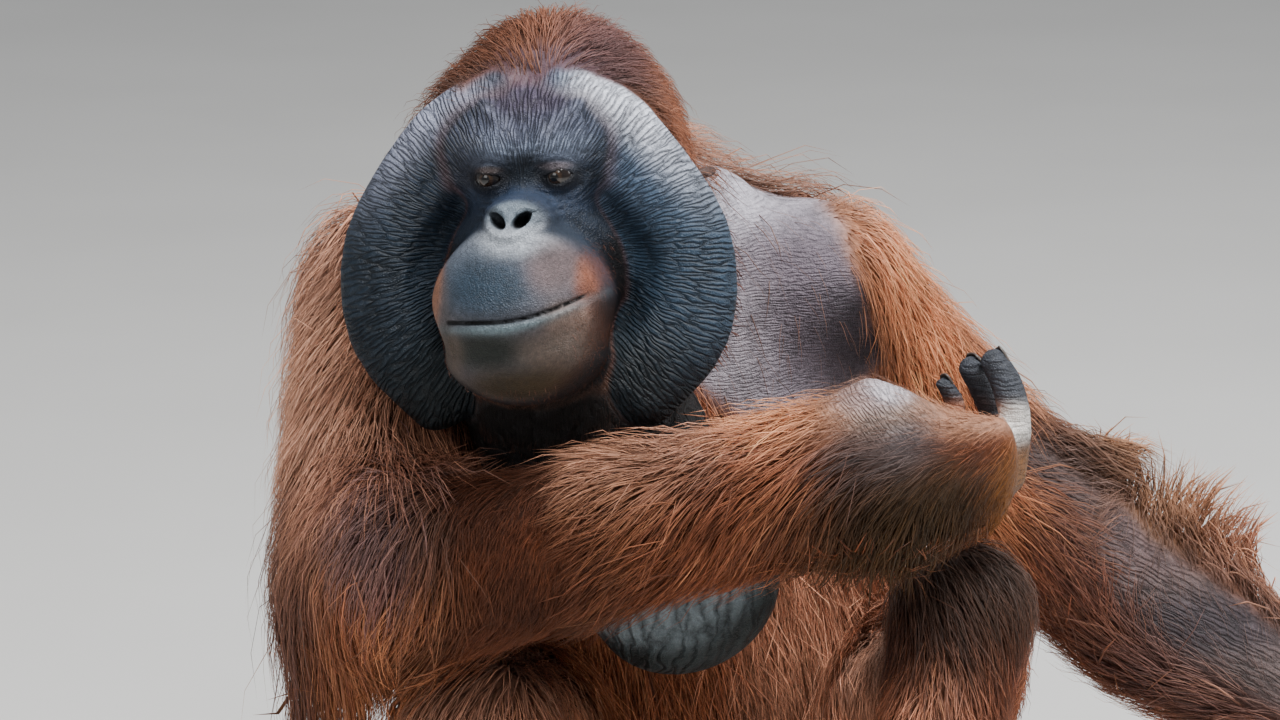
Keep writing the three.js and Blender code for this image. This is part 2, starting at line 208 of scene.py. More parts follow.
@dataclass
class Limb:
    """Oval-sectioned length of the body along a smooth path, out to the coat's tips."""

    path: Sequence[Place]
    widths: Sequence[float]
    depths: Sequence[float]
    side: Place | Callable[[Array], Array] = (1.0, 0.0, 0.0)
    coat: CoatKind = field(default_factory=CoatKind)
    shift: Place = (0.0, 0.0, 0.0)
    dome: float = 0.7
    blend: float = 30.0
    stations: int = 10

    def __post_init__(self) -> None:
        """Works out the centres, half sizes and axes at even stations along the path."""
        u = np.linspace(0.0, 1.0, self.stations)
        self.centres = smooth_line(self.path, u) + np.asarray(self.shift)
        self.half_w = np.maximum(smooth_line(self.widths, u) - self.coat.depth, 4.0)
        self.half_d = np.maximum(smooth_line(self.depths, u) - self.coat.depth, 4.0)
        runs = np.diff(self.centres, axis=0)
        self.lengths = np.linalg.norm(runs, axis=1)
        self.runs = runs / self.lengths[:, None]
        middle = (u[1:] + u[:-1]) / 2
        side = self.side(middle) if callable(self.side) else np.tile(self.side, (len(middle), 1))
        side = side - (side * self.runs).sum(1, keepdims=True) * self.runs
        self.sides = unit(side)
        self.ups = np.cross(self.runs, self.sides)
        reach = max(self.half_w.max(), self.half_d.max())
        self.low = self.centres.min(0) - reach
        self.high = self.centres.max(0) + reach

    def near(self, points: Array, margin: float) -> Array:
        """Which points lie in the limb's box, grown by a margin."""
        return ((points > self.low - margin) & (points < self.high + margin)).all(1)

    def distance(self, points: Array) -> Array:
        """Distance of points to the limb's skin, below zero inside.

        For each straight run the nearest place on the axis is found; with k0 the length of
        the offset measured in half sizes and k1 that of the offset over squared half sizes,
        the distance is k0 (k0 - 1) / k1. The nearest run counts.

        Args:
            points: Places, one per row.

        Returns:
            One distance for each place.
        """
        best = np.full(len(points), FAR)
        for i in range(len(self.runs)):
            offset = points - self.centres[i]
            along = offset @ self.runs[i]
            t = np.clip(along / self.lengths[i], 0.0, 1.0)
            past = along - t * self.lengths[i]
            w = self.half_w[i] + (self.half_w[i + 1] - self.half_w[i]) * t
            d = self.half_d[i] + (self.half_d[i + 1] - self.half_d[i]) * t
            end = np.minimum(w, d) * self.dome
            x = offset @ self.sides[i]
            y = offset @ self.ups[i]
            k0 = np.sqrt((x / w) ** 2 + (y / d) ** 2 + (past / end) ** 2)
            k1 = np.sqrt((x / w**2) ** 2 + (y / d**2) ** 2 + (past / end**2) ** 2)
            best = np.minimum(best, k0 * (k0 - 1.0) / np.maximum(k1, 1e-6))
        return best

    def coordinates(self, points: Array) -> tuple[Array, Array, Array]:
        """Angle round the limb, distance along it and its direction, for points near it.

        Args:
            points: Places, one per row.

        Returns:
            Angle in radians, distance along in millimetres, and direction vectors.
        """
        best = np.full(len(points), np.inf)
        angle = np.zeros(len(points))
        place = np.zeros(len(points))
        heading = np.zeros((len(points), 3))
        start = 0.0
        for i in range(len(self.runs)):
            offset = points - self.centres[i]
            t = np.clip(offset @ self.runs[i], 0.0, self.lengths[i])
            gap = np.linalg.norm(offset - t[:, None] * self.runs[i], axis=1)
            closer = gap < best
            best = np.where(closer, gap, best)
            turn = np.arctan2(offset @ self.ups[i], offset @ self.sides[i])
            angle = np.where(closer, turn, angle)
            place = np.where(closer, start + t, place)
            heading = np.where(closer[:, None], self.runs[i], heading)
            start += self.lengths[i]
        return angle, place, heading


def turned(axis: int, degrees: float) -> Array:
    """Matrix of a right-handed turn about a main axis (0 is X, 1 is Y, 2 is Z)."""
    c, s = math.cos(math.radians(degrees)), math.sin(math.radians(degrees))
    matrix = np.eye(3)
    i, j = (axis + 1) % 3, (axis + 2) % 3
    matrix[i, i] = matrix[j, j] = c
    matrix[i, j], matrix[j, i] = -s, s
    return matrix


@dataclass
class Head:
    """Skull, muzzle, cheek pads and ears in the head's own axes: aside, up, forward."""

    centre: Place = (-147.0, -221.0, 592.0)
    yaw: float = 10.0
    pitch: float = 9.0
    roll: float = 4.0
    eye_radius: float = 11.5
    eye_aside: float = 26.0
    eye_middle: float = -1.0
    eye_up: float = 25.3
    eye_forward: float = 68.0
    lid_thickness: float = 1.6
    slit_half: float = 10.5
    lobe_blend: float = 14.0
    pad_drop: float = -30.0
    pad_rim: tuple[float, float] = (132.0, 160.0)
    pad_inner: tuple[float, float] = (62.0, 84.0)
    pad_thickness: float = 46.0
    pad_forward: float = 38.0
    pad_angles: tuple[float, float] = (11.0, 146.0)
    mouth_up: float = -77.0
    mouth_curve: float = 0.004
    coat: CoatKind = CoatKind(length=34.0, depth=12.0, flow=Flow.DOWN, warmth=0.35, shade=0.9)

    def __post_init__(self) -> None:
        """Works out the head's axes and its lobes, less the coat on the skull."""
        basis = np.array([[1.0, 0, 0], [0, 0, -1.0], [0, 1.0, 0]])
        self.matrix = turned(2, -self.yaw) @ turned(0, -self.pitch) @ turned(1, -self.roll) @ basis
        skull = self.coat.depth
        self.lobes = (
            ((3, 57, -46), (86 - skull, 96 - skull, 90 - skull)),
            ((34, 36, -68), (78 - 2 * skull, 84 - 2 * skull, 70 - 2 * skull)),
            ((0, 0, -10), (78, 90, 78)),
            ((0, 52, 40), (62, 26, 30)),
            ((0, 30, 10), (100, 74, 36)),
            ((-4, -68, 86), (63, 57, 84)),
            ((-2, -94, 78), (57, 46, 80)),
            ((2, -6, 112), (22, 16, 26)),
            ((4, -62, -22), (88, 58, 36)),
        )
        self.pads = [self.pad(sign) for sign in (-1, 1)]
        self.ears = [self.ear(sign) for sign in (-1, 1)]

    def world(self, local: Array) -> Array:
        """Plan places of places in the head's own axes."""
        return np.asarray(local, float) @ self.matrix.T + np.asarray(self.centre)

    def local(self, points: Array) -> Array:
        """Places in the head's own axes of plan places."""
        return (points - np.asarray(self.centre)) @ self.matrix

    def eye_place(self, sign: int) -> Array:
        """Place of an eye's centre in the head's own axes (+1 the animal's left)."""
        return np.array([self.eye_middle + sign * self.eye_aside, self.eye_up, self.eye_forward])

    def eye(self, sign: int) -> Array:
        """Plan place of an eye's centre."""
        return self.world(self.eye_place(sign))

    def rim_at(self, turn: Array) -> Array:
        """Distance of the pads' outer rim from their middle, at an angle from the top."""
        return self.pad_rim[0] + (self.pad_rim[1] - self.pad_rim[0]) * ease(0.9, 2.0, np.abs(turn))

    def pad(self, sign: int) -> Limb:
        """Cheek pad of one side: an arc of flat ovals from brow to throat."""
        u = np.linspace(0.0, 1.0, 6)
        low = ease(0.3, 0.85, u)
        rim = self.pad_rim[0] + (self.pad_rim[1] - self.pad_rim[0]) * low
        inner = self.pad_inner[0] + (self.pad_inner[1] - self.pad_inner[0]) * low
        middle = (rim + inner) / 2

        def turn(share: Array) -> Array:
            """Angle round the face at a share of the arc."""
            return np.radians(self.pad_angles[0] + (self.pad_angles[1] - self.pad_angles[0]) * share)

        def side(share: Array) -> Array:
            """Direction from the face's middle to the rim."""
            angle = turn(share)
            across = np.stack([sign * np.sin(angle), np.cos(angle), 0 * angle], axis=1)
            return across @ self.matrix.T

        angle = turn(u)
        path = np.stack(
            [sign * middle * np.sin(angle), self.pad_drop + middle * np.cos(angle), 0 * u + self.pad_forward],
            axis=1,
        )
        depths = self.pad_thickness / 2 * (1 - 0.25 * (1 - u))
        bare = CoatKind(length=3.0, depth=1.0, density=0.0)
        return Limb(
            self.world(path), (rim - inner) / 2 + 2, depths, side=side, coat=bare, dome=1.1, stations=15
        )

    def ear(self, sign: int) -> Limb:
        """Ear shell of one side, close to the head behind the cheek pad."""
        path = self.world([[8 + sign * 60, 6, -38], [8 + sign * 110, 20, -50]])
        forward = tuple(self.matrix[:, 2])
        coat = CoatKind(length=6.0, depth=2.0, density=0.2)
        return Limb(path, [15, 17], [7, 6], side=forward, coat=coat, dome=1.5, stations=4)

    def mouth(self, aside: Array) -> Array:
        """Height of the mouth line: level, then rising by the square towards the animal's left."""
        return self.mouth_up + self.mouth_curve * np.maximum(aside + 10.0, 0.0) ** 2

    def lids(self, place: Array, distance: Array) -> Array:
        """Skin distance with the eyelids laid over each eyeball and the slit opened.

        The lids are a ball just larger than the eyeball. The slit lies between an upper
        curve and a lower curve that meet at the two corners.

        Args:
            place: Places in the head's own axes.
            distance: Skin distance without lids.

        Returns:
            Skin distance with lids.
        """
        out = distance
        for sign in (-1, 1):
            offset = place - self.eye_place(sign)
            aside, up, forward = offset.T
            ball = np.linalg.norm(offset, axis=1)
            out = smooth_min(out, ball - (self.eye_radius + self.lid_thickness), 5.0)
            across = np.clip(aside * sign / self.slit_half, -1.0, 1.0)
            arch = 1 - across**2
            top = 0.2 + 1.6 * arch + 0.8 * across
            bottom = -0.6 - 4.6 * arch + 0.8 * across
            slit = np.maximum(np.maximum(up - top, bottom - up), 2.0 - forward)
            slit = np.maximum(slit, np.abs(aside) - self.slit_half)
            hollow = np.maximum(slit, ball - (self.eye_radius + 14.0))
            out = np.maximum(out, -hollow)
            for height, depth in ((7.6, 1.0), (11.5, 1.6)):
                crease = bump(up, height - 0.03 * aside**2, 1.1) * bump(aside, 0, 10)
                out = out + depth * crease * ease(0, 6, forward)
        return out

    def relief(self, place: Array) -> Array:
        """How far the skin is pressed in at places on the face: sockets, folds, lips.

        Each term is a bell curve across a fold times a window along it.

        Args:
            place: Places in the head's own axes.

        Returns:
            Millimetres inwards, below zero outwards.
        """
        a, b, c = place.T
        front = ease(20.0, 60.0, c)
        muzzle = ease(60.0, 110.0, c)
        wide = np.abs(a - self.eye_middle)
        up = b - self.eye_up
        sunk = 4.0 * bump(wide, 27, 14) * bump(up, 0, 9) - 2.6 * bump(up, 24, 10) * bump(wide, 25, 19)
        sunk = sunk - 2.5 * bump(up, 17, 7) * bump(a, 0, 18) + 2.6 * bump(up, 40, 5) * bump(a, 0, 34)
        sunk = sunk + 3.0 * bump(a, 0, 7) * bump(b, 98, 22) + 1.6 * bump(wide, 14, 3.5) * bump(b, 80, 14)
        for height in (8, 13, 18.5, 24):
            sunk = sunk + 0.7 * bump(up, height + 0.006 * a * a, 1.2) * bump(a, 0, 12)
        below = np.hypot(wide - 25, up * 1.3)
        lower = ease(-3, -10, up) * ease(4, 16, wide)
        for reach, depth, spread in ((19, 1.2, 1.5), (26, 1.1, 1.7), (33, 0.9, 2)):
            sunk = sunk + depth * lower * bump(below, reach, spread)
        sunk = sunk * front
        sunk = sunk - 3.2 * self.furrow(place) * front
        edge = np.hypot((a + 4) / 66.0, (b + 70.0) / 66.0)
        sunk = sunk + 2.6 * bump(edge, 1.04, 0.07) * ease(30, 60, c) * ease(-70, -40, b)
        line = b - self.mouth(a)
        span = ease(-49, -43, a) * ease(54, 46, a)
        lips = ((3.8, 0, 1.1), (-2.4, -5.5, 2.8), (3.2, -21, 7), (-1.4, 8, 5))
        sunk = sunk + sum(depth * bump(line, up, spread) for depth, up, spread in lips) * span * muzzle
        corner = np.hypot(a - 51, line * 0.7)
        sunk = sunk + 1.6 * bump(corner, 0, 4) * muzzle + 1.2 * bump(a + 47, 0, 3) * bump(line, 0, 5) * muzzle
        for sign in (-1, 1):
            hole = self.nostril(place, sign)
            sunk = sunk + (13.0 * ease(1.1, 0.6, hole) - 1.5 * bump(hole, 1.7, 0.4)) * muzzle
        sunk = sunk + 1.6 * bump(a, -0.5, 2.2) * bump(b, -8, 6) * muzzle
        return sunk

    def furrow(self, place: Array) -> Array:
        """Share of the two slanting folds that rise from the brow's middle."""
        aside = np.abs(place[:, 0] - 6)
        return bump(place[:, 1] - 47 - 0.85 * aside, 0, 4.5) * ease(3, 12, aside) * ease(46, 32, aside)

    def nostril(self, place: Array, sign: int) -> Array:
        """Distance from a nostril's middle in its own half sizes: an oval leaning outwards."""
        up = place[:, 1] + 5.0
        aside = place[:, 0] + 0.5 - sign * (8.8 + 0.5 * up)
        return np.hypot(aside / 6.0, up / 6.4)

    def pad_polar(self, place: Array) -> tuple[Array, Array]:
        """Angle from the top and distance from the pads' middle, seen from in front."""
        aside, up = place[:, 0], place[:, 1] - self.pad_drop
        return np.arctan2(aside, up), np.hypot(aside, up)

    def distance(self, points: Array) -> Array:
        """Distance of points to the head's skin.

        The lobes join by the logarithm of the sum of their falling exponentials, the pads
        and ears by rounded minima, and the relief is added.

        Args:
            points: Plan places, one per row.

        Returns:
            One distance for each place.
        """
        place = self.local(points)
        total = np.zeros(len(points))
        for centre, half in self.lobes:
            scaled = (place - centre) / half
            steep = np.linalg.norm(scaled / half, axis=1)
            length = np.linalg.norm(scaled, axis=1)
            gap = length * (length - 1) / np.maximum(steep, 1e-6)
            total += np.exp(-np.clip(gap, -200, 300) / self.lobe_blend)
        out = -self.lobe_blend * np.log(np.maximum(total, 1e-12))
        out = out + self.relief(place)
        angle, radius = self.pad_polar(place)
        side = ease(0.7, 1.1, np.abs(angle)) * ease(2.7, 2.2, np.abs(angle))
        for pad in self.pads:
            gap = pad.distance(points)
            out = smooth_min(out, gap, 18.0)
            out = out + 6.0 * bump(radius, self.rim_at(angle) - 70, 8) * side * ease(25, 45, place[:, 2])
        for ear in self.ears:
            out = smooth_min(out, ear.distance(points), 5.0)
        return self.lids(place, out)


@dataclass
class Digit:
    """Finger or toe along four knuckle points, with a nail near its tip."""

    path: Sequence[Place]
    radius: float
    nail_up: Place = (0.0, 0.0, 1.0)

    def limb(self) -> Limb:
        """The digit as a tapering limb with slight knuckles."""
        shares = np.array([1.08, 1.0, 0.98, 0.84])
        sizes = shares * self.radius
        coat = CoatKind(length=7.0, depth=1.0, density=0.12, shade=0.4)
        return Limb(self.path, sizes, sizes, side=(1, 0, 1), coat=coat, dome=0.9, blend=6.0, stations=8)


@dataclass
class Body:
    """Whole animal: joints of the plan in millimetres, its limbs, and the skin's field."""

    rump: Place = (-30, 40, 57)
    belly: Place = (-38, 38, 210)
    ribs: Place = (-58, 12, 350)
    shoulders: Place = (-78, -18, 470)
    neck_root: Place = (-98, -62, 552)
    shoulder_right: Place = (-266, -42, 507)
    elbow_right: Place = (-258, -305, 327)
    wrist_right: Place = (107, -322, 423)
    shoulder_left: Place = (66, -30, 497)
    elbow_left: Place = (260, 112, 254)
    wrist_left: Place = (534, 98, 58)
    hip_right: Place = (-160, -10, 105)
    knee_right: Place = (-204, -278, 197)
    ankle_right: Place = (-125, -430, 62)
    hip_left: Place = (108, 4, 105)
    knee_left: Place = (168, -262, 294)
    ankle_left: Place = (100, -438, 62)
    finger_radius: float = 13.0
    toe_radius: float = 12.0
    floor: float = 0.6
    head: Head = field(default_factory=Head)

    def __post_init__(self) -> None:
        """Builds the limbs by name, in the groups that blend into one another."""
        back = CoatKind(length=95, depth=30, flow=Flow.DOWN, droop=1.0, warmth=0.45)
        arm = CoatKind(length=80, depth=26, droop=0.6, density=1.1, warmth=0.55)
        fore = CoatKind(length=58, depth=21, flow=Flow.INWARD, droop=0.12, density=1.25, warmth=0.6)
        leg = CoatKind(length=52, depth=13, density=0.9, warmth=0.4)
        hand = CoatKind(length=17, depth=4, flow=Flow.INWARD, droop=0.15, density=1.3, warmth=0.35)
        bare = CoatKind(length=8, depth=1, flow=Flow.DOWN, density=0.0)
        self.trunk = Limb(
            [self.rump, self.belly, self.ribs, self.shoulders, self.neck_root],
            [150, 182, 190, 182, 112], [138, 169, 172, 140, 92],
            side=(0.95, 0.31, 0), coat=back, shift=(0, -7, 0), dome=0.5, blend=50,
        )
        self.girdle = Limb(
            [(-218, -8, 474), (-90, 24, 478), (36, 12, 474)], [92, 112, 88], [88, 106, 84],
            side=(0, 0, 1), coat=back, blend=50,
        )
        self.neck = Limb([(-92, -10, 530), (-132, -125, 575)], [108, 84], [86, 84], coat=back, blend=40)
        self.pouch = Limb(
            [(-132, -250, 465), (-95, -230, 380), (-40, -205, 290)], [82, 88, 76], [66, 72, 64],
            coat=bare, dome=1.0, blend=16,
        )
        self.upper_right = Limb(
            [self.shoulder_right, (-268, -160, 425), (-273, -281, 317)], [84, 88, 88], [78, 80, 80],
            coat=arm, blend=45,
        )
        self.fore_right = Limb(
            [self.elbow_right, (-130, -330, 360), (0, -330, 394), self.wrist_right],
            [84, 76, 66, 82], [70, 62, 54, 58], side=(0, 0, 1), coat=fore, blend=30,
        )
        self.upper_left = Limb(
            [self.shoulder_left, (152, 32, 392), self.elbow_left], [74, 66, 74], [78, 66, 74],
            side=(0, 1, 0), coat=CoatKind(length=72, depth=20, droop=0.25, warmth=0.75), blend=45,
        )
        self.fore_left = Limb(
            [self.elbow_left, (350, 110, 180), (445, 104, 118), self.wrist_left],
            [70, 72, 60, 42], [72, 80, 64, 42],
            side=(0, 1, 0), coat=CoatKind(depth=16, flow=Flow.INWARD, droop=0.2), blend=30,
        )
        self.thigh_right = Limb(
            [self.hip_right, (-182, -150, 152), self.knee_right], [80, 74, 62], [84, 78, 62], coat=leg
        )
        self.thigh_left = Limb(
            [self.hip_left, (164, -132, 194), self.knee_left], [80, 64, 54], [84, 70, 54], coat=leg
        )
        self.shin_right = Limb(
            [self.knee_right, (-162, -345, 140), self.ankle_right], [60, 58, 42], [60, 60, 42], coat=leg
        )
        self.shin_left = Limb(
            [self.knee_left, (142, -340, 170), self.ankle_left], [52, 52, 42], [52, 54, 42], coat=leg
        )
        self.palm_right = Limb(
            [(107, -322, 418), (144, -318, 408), (188, -306, 408)], [64, 60, 50], [38, 38, 29],
            side=(0.1, -0.35, 0.93), coat=hand, blend=26,
        )
        self.palm_left = Limb(
            [self.wrist_left, (576, 104, 33), (612, 112, 25)], [38, 46, 46], [34, 35, 27],
            side=(0, 1, 0), coat=hand, blend=24,
        )
        self.digits_right = self.right_fingers()
        self.digits_left = self.left_fingers()
        self.sole_right, self.toes_right = self.foot(self.ankle_right, 14, -1, hand)
        self.sole_left, self.toes_left = self.foot(self.ankle_left, 14, 1, hand)
        self.digits = {
            "arm_right": self.digits_right, "arm_left": self.digits_left,
            "leg_right": self.toes_right, "leg_left": self.toes_left,
        }
        self.groups = {
            "trunk": [self.trunk, self.girdle, self.neck],
            "pouch": [self.pouch],
            "arm_right": [self.upper_right, self.fore_right, self.palm_right],
            "arm_left": [self.upper_left, self.fore_left, self.palm_left],
            "leg_right": [self.thigh_right, self.shin_right, self.sole_right],
            "leg_left": [self.thigh_left, self.shin_left, self.sole_left],
        }
        self.digit_limbs = []
        for name, digits in self.digits.items():
            limbs = [digit.limb() for digit in digits]
            self.groups[name] += limbs
            self.digit_limbs += limbs
        self.sockets = {
            "pouch": ((-125, -230, 450), 90, 24),
            "arm_right": (self.shoulder_right, 150, 60),
            "arm_left": (self.shoulder_left, 130, 60),
            "leg_right": (self.hip_right, 130, 40),
            "leg_left": (self.hip_left, 130, 40),
        }

    def right_fingers(self) -> list[Digit]:
        """Digits of the cupped right hand, curled upwards."""
        paths = (
            [(200, -300, 402), (205, -300, 442), (199, -290, 470), (189, -284, 487)],
            [(194, -280, 396), (193, -262, 436), (183, -262, 462), (173, -268, 478)],
            [(188, -262, 384), (190, -238, 408), (176, -230, 418), (158, -240, 420)],
            [(176, -250, 372), (180, -226, 388), (166, -218, 400), (150, -228, 404)],
            [(150, -290, 424), (160, -292, 440), (160, -294, 458), (151, -296, 473)],
        )
        sizes = (1.0, 0.95, 0.9, 0.85, 0.62)
        nail_up = (0.7, 0.6, 0.4)
        return [Digit(path, self.finger_radius * size, nail_up) for path, size in zip(paths, sizes)]

    def left_fingers(self) -> list[Digit]:
        """Digits of the left hand, laid on the ground and a little arched."""
        knuckles = (612, 112, 25)
        digits = []
        for i in range(4):
            spread = i - 1.5
            reach = 1 - 0.06 * abs(i - 1)
            path = [
                (knuckles[0] + along * reach, knuckles[1] + spread * 21 + along * (0.16 + spread * 0.07), up)
                for along, up in ((8, 26), (50, 32), (86, 22), (112, 11))
            ]
            digits.append(Digit(path, self.finger_radius, nail_up=(0.5, 0, 0.85)))
        digits.append(Digit([(566, 66, 32), (584, 52, 28), (598, 43, 19), (608, 38, 12)], self.finger_radius))
        return digits

    def foot(self, ankle: Place, outward: float, sign: int, coat: CoatKind) -> tuple[Limb, list[Digit]]:
        """Sole and toes of one foot.

        Args:
            ankle: Ankle joint.
            outward: Degrees that the foot points outwards.
            sign: +1 for the animal's left.
            coat: Coat of the sole's upper side.

        Returns:
            The sole and the five toes.
        """
        angle = math.radians(outward)
        heading = np.array([math.sin(angle) * sign, -math.cos(angle), 0])
        across = np.array([-heading[1], heading[0], 0])

        def place(along: float, aside: float, up: float) -> Place:
            """Place on the foot from the ankle's foot point."""
            return tuple(np.array([ankle[0], ankle[1], up]) + heading * along + across * aside * sign)

        sole = Limb(
            [place(-32, 0, 32), place(30, 0, 36), place(100, 0, 25)], [36, 42, 44], [36, 40, 26],
            side=tuple(across), coat=coat, blend=26,
        )
        toes = []
        for i in range(4):
            aside = (i - 1.5) * 20
            reach = 1 - 0.08 * abs(i - 1.2)
            steps = ((110, 1, 30), (152, 1.1, 38), (184, 1.15, 26), (196, 1.15, 11))
            path = [place(along * reach, aside * wide, up) for along, wide, up in steps]
            toes.append(Digit(path, self.toe_radius, nail_up=tuple(heading * 0.8 + [0, 0, 0.6])))
        inner = [place(20, -34, 26), place(44, -54, 26), place(62, -66, 20), place(74, -72, 13)]
        toes.append(Digit(inner, self.toe_radius))
        return sole, toes

    def group_distance(self, limbs: Sequence[Limb], points: Array, margin: float) -> Array:
        """Distance to a group of limbs that blend one into the next."""
        out = np.full(len(points), FAR)
        for limb in limbs:
            near = limb.near(points, margin)
            if near.any():
                gap = limb.distance(points[near])
                out[near] = smooth_min(out[near], gap, limb.blend)
        return out

    def distance(self, points: Array, margin: float = 70.0) -> Array:
        """Distance of points to the whole skin, below zero inside.

        Each group is joined to the trunk by a rounded minimum whose width fades with the
        distance from the joint between them, and the floor cuts the flats.

        Args:
            points: Plan places, one per row.
            margin: How far from a limb its distance still counts.

        Returns:
            One distance for each place.
        """
        out = self.group_distance(self.groups["trunk"], points, margin)
        for name, (centre, reach, width) in self.sockets.items():
            gap = self.group_distance(self.groups[name], points, margin)
            fade = np.exp(-((points - np.asarray(centre)) ** 2).sum(1) / reach**2)
            out = smooth_min(out, gap, 3.0 + width * fade)
        centre = self.head.world([0, -5, 20])
        near = (np.abs(points - centre) < 190 + margin).all(1)
        gap = np.full(len(points), FAR)
        gap[near] = self.head.distance(points[near])
        behind = np.exp(-((points - self.head.world([10, -20, -90])) ** 2).sum(1) / 90.0**2)
        throat = np.exp(-((points - self.head.world([0, -110, 40])) ** 2).sum(1) / 60.0**2)
        out = smooth_min(out, gap, 3.0 + 40 * behind + 22 * throat)
        return np.maximum(out, self.floor - points[:, 2])


@dataclass
class Lattice:
    """Skin's distance on an even grid, read between its points by straight weights."""

    body: Body
    step: float = 6.5
    low: Place = (-400.0, -700.0, -12.0)
    high: Place = (780.0, 260.0, 780.0)

    def __post_init__(self) -> None:
        """Fills the grid layer by layer with the body's distance."""
        axes = [np.arange(self.low[k], self.high[k] + self.step, self.step) for k in range(3)]
        self.shape = tuple(len(axis) for axis in axes)
        grid = np.stack(np.meshgrid(*axes, indexing="ij"), axis=-1).reshape(-1, 3)
        parts = [self.body.distance(block) for block in np.array_split(grid, 12)]
        self.values = np.concatenate(parts).reshape(self.shape)
        self.slopes = np.stack(np.gradient(self.values, self.step), axis=-1)

    def read(self, points: Array) -> tuple[Array, Array]:
        """Distance and outward direction at points, by trilinear weights.

        Args:
            points: Plan places, one per row.

        Returns:
            Distances and unit slopes.
        """
        q = (points - np.asarray(self.low)) / self.step
        q = np.clip(q, 0, np.asarray(self.shape) - 1.001)
        i = q.astype(int)
        f = q - i
        value = np.zeros(len(points))
        slope = np.zeros((len(points), 3))
        for step, weight in cell_corners(f):
            x, y, z = (i + step).T
            value += self.values[x, y, z] * weight
            slope += self.slopes[x, y, z] * weight[:, None]
        return value, unit(slope)


@dataclass
class Mesh:
    """Points and triangles in plan millimetres."""

    points: Array
    faces: Array

    def edges(self) -> tuple[Array, Array]:
        """Unique edges, and for each face the number of its three edges."""
        pairs = np.stack([self.faces, np.roll(self.faces, -1, axis=1)], axis=-1).reshape(-1, 2)
        pairs = np.sort(pairs, axis=1)
        keys, inverse = np.unique(pairs[:, 0] * len(self.points) + pairs[:, 1], return_inverse=True)
        edges = np.stack([keys // len(self.points), keys % len(self.points)], axis=1)
        return edges, inverse.reshape(-1, 3)

    def refined(self, chosen: Array) -> "Mesh":
        """Mesh whose edges with both ends chosen are halved, and faces split to match.

        Args:
            chosen: For each point, whether it lies where finer faces are wanted.

        Returns:
            The finer mesh.
        """
        edges, of_face = self.edges()
        split = chosen[edges].all(1)
        number = np.full(len(edges), -1)
        number[split] = len(self.points) + np.arange(split.sum())
        points = np.concatenate([self.points, self.points[edges[split]].mean(1)])
        mids = number[of_face]
        count = (mids >= 0).sum(1)
        out = [self.faces[count == 0]]
        for want in (1, 2, 3):
            rows = count == want
            faces, middle = self.faces[rows], mids[rows]
            if want == 1:
                shift = np.argmax(middle >= 0, axis=1)
            elif want == 2:
                shift = (np.argmax(middle < 0, axis=1) + 1) % 3
            else:
                shift = np.zeros(len(faces), int)
            order = (shift[:, None] + np.arange(3)) % 3
            v0, v1, v2 = np.take_along_axis(faces, order, 1).T
            m0, m1, m2 = np.take_along_axis(middle, order, 1).T
            pieces = {
                1: ((v0, m0, v2), (m0, v1, v2)),
                2: ((m0, v1, m1), (v0, m0, m1), (v0, m1, v2)),
                3: ((v0, m0, m2), (m0, v1, m1), (m2, m1, v2), (m0, m1, m2)),
            }[want]
            out.extend(np.stack(piece, axis=1) for piece in pieces)
        return Mesh(points, np.concatenate(out))

    def normals(self) -> Array:
        """Outward direction at each point: the sum of its faces' area vectors."""
        a, b, c = (self.points[self.faces[:, k]] for k in range(3))
        area = np.cross(b - a, c - a)
        return unit(sum(summed(self.faces[:, k], area, len(self.points)) for k in range(3)))


def surface_net(lattice: Lattice) -> Mesh:
    """Closed mesh of the zero level on a grid, one point for each cell that it crosses.

    Each point is the mean of the crossings on its cell's edges. Each crossed grid edge gives
    a square between the four cells round it, turned so that it faces out.

    Args:
        lattice: The grid of distances.

    Returns:
        The mesh in plan millimetres.
    """
    values = lattice.values
    inside = values < 0
    cells, places, squares = [], [], []
    shape = np.array(values.shape) - 1
    for axis in range(3):
        one, two = (axis + 1) % 3, (axis + 2) % 3
        low = [slice(None)] * 3
        high = [slice(None)] * 3
        low[axis], high[axis] = slice(0, -1), slice(1, None)
        crossed = np.argwhere(inside[tuple(low)] != inside[tuple(high)])
        keep = (crossed[:, one] > 0) & (crossed[:, two] > 0)
        keep &= (crossed[:, one] < shape[one]) & (crossed[:, two] < shape[two])
        crossed = crossed[keep]
        after = crossed.copy()
        after[:, axis] += 1
        a = values[tuple(crossed.T)]
        b = values[tuple(after.T)]
        place = crossed.astype(float)
        place[:, axis] += a / (a - b)
        corners = []
        for back_one, back_two in ((1, 1), (0, 1), (0, 0), (1, 0)):
            cell = crossed.copy()
            cell[:, one] -= back_one
            cell[:, two] -= back_two
            corners.append(np.ravel_multi_index(tuple(cell.T), tuple(shape)))
            cells.append(corners[-1])
            places.append(place)
        square = np.stack(corners, axis=1)
        squares.append(np.where((a < 0)[:, None], square, square[:, ::-1]))
    cells, places = np.concatenate(cells), np.concatenate(places)
    used, number = np.unique(cells, return_inverse=True)
    count = np.bincount(number)
    mean = summed(number, places, len(count)) / count[:, None]
    squares = np.searchsorted(used, np.concatenate(squares))
    faces = np.concatenate([squares[:, [0, 1, 2]], squares[:, [0, 2, 3]]])
    return Mesh(mean * lattice.step + np.asarray(lattice.low), faces)


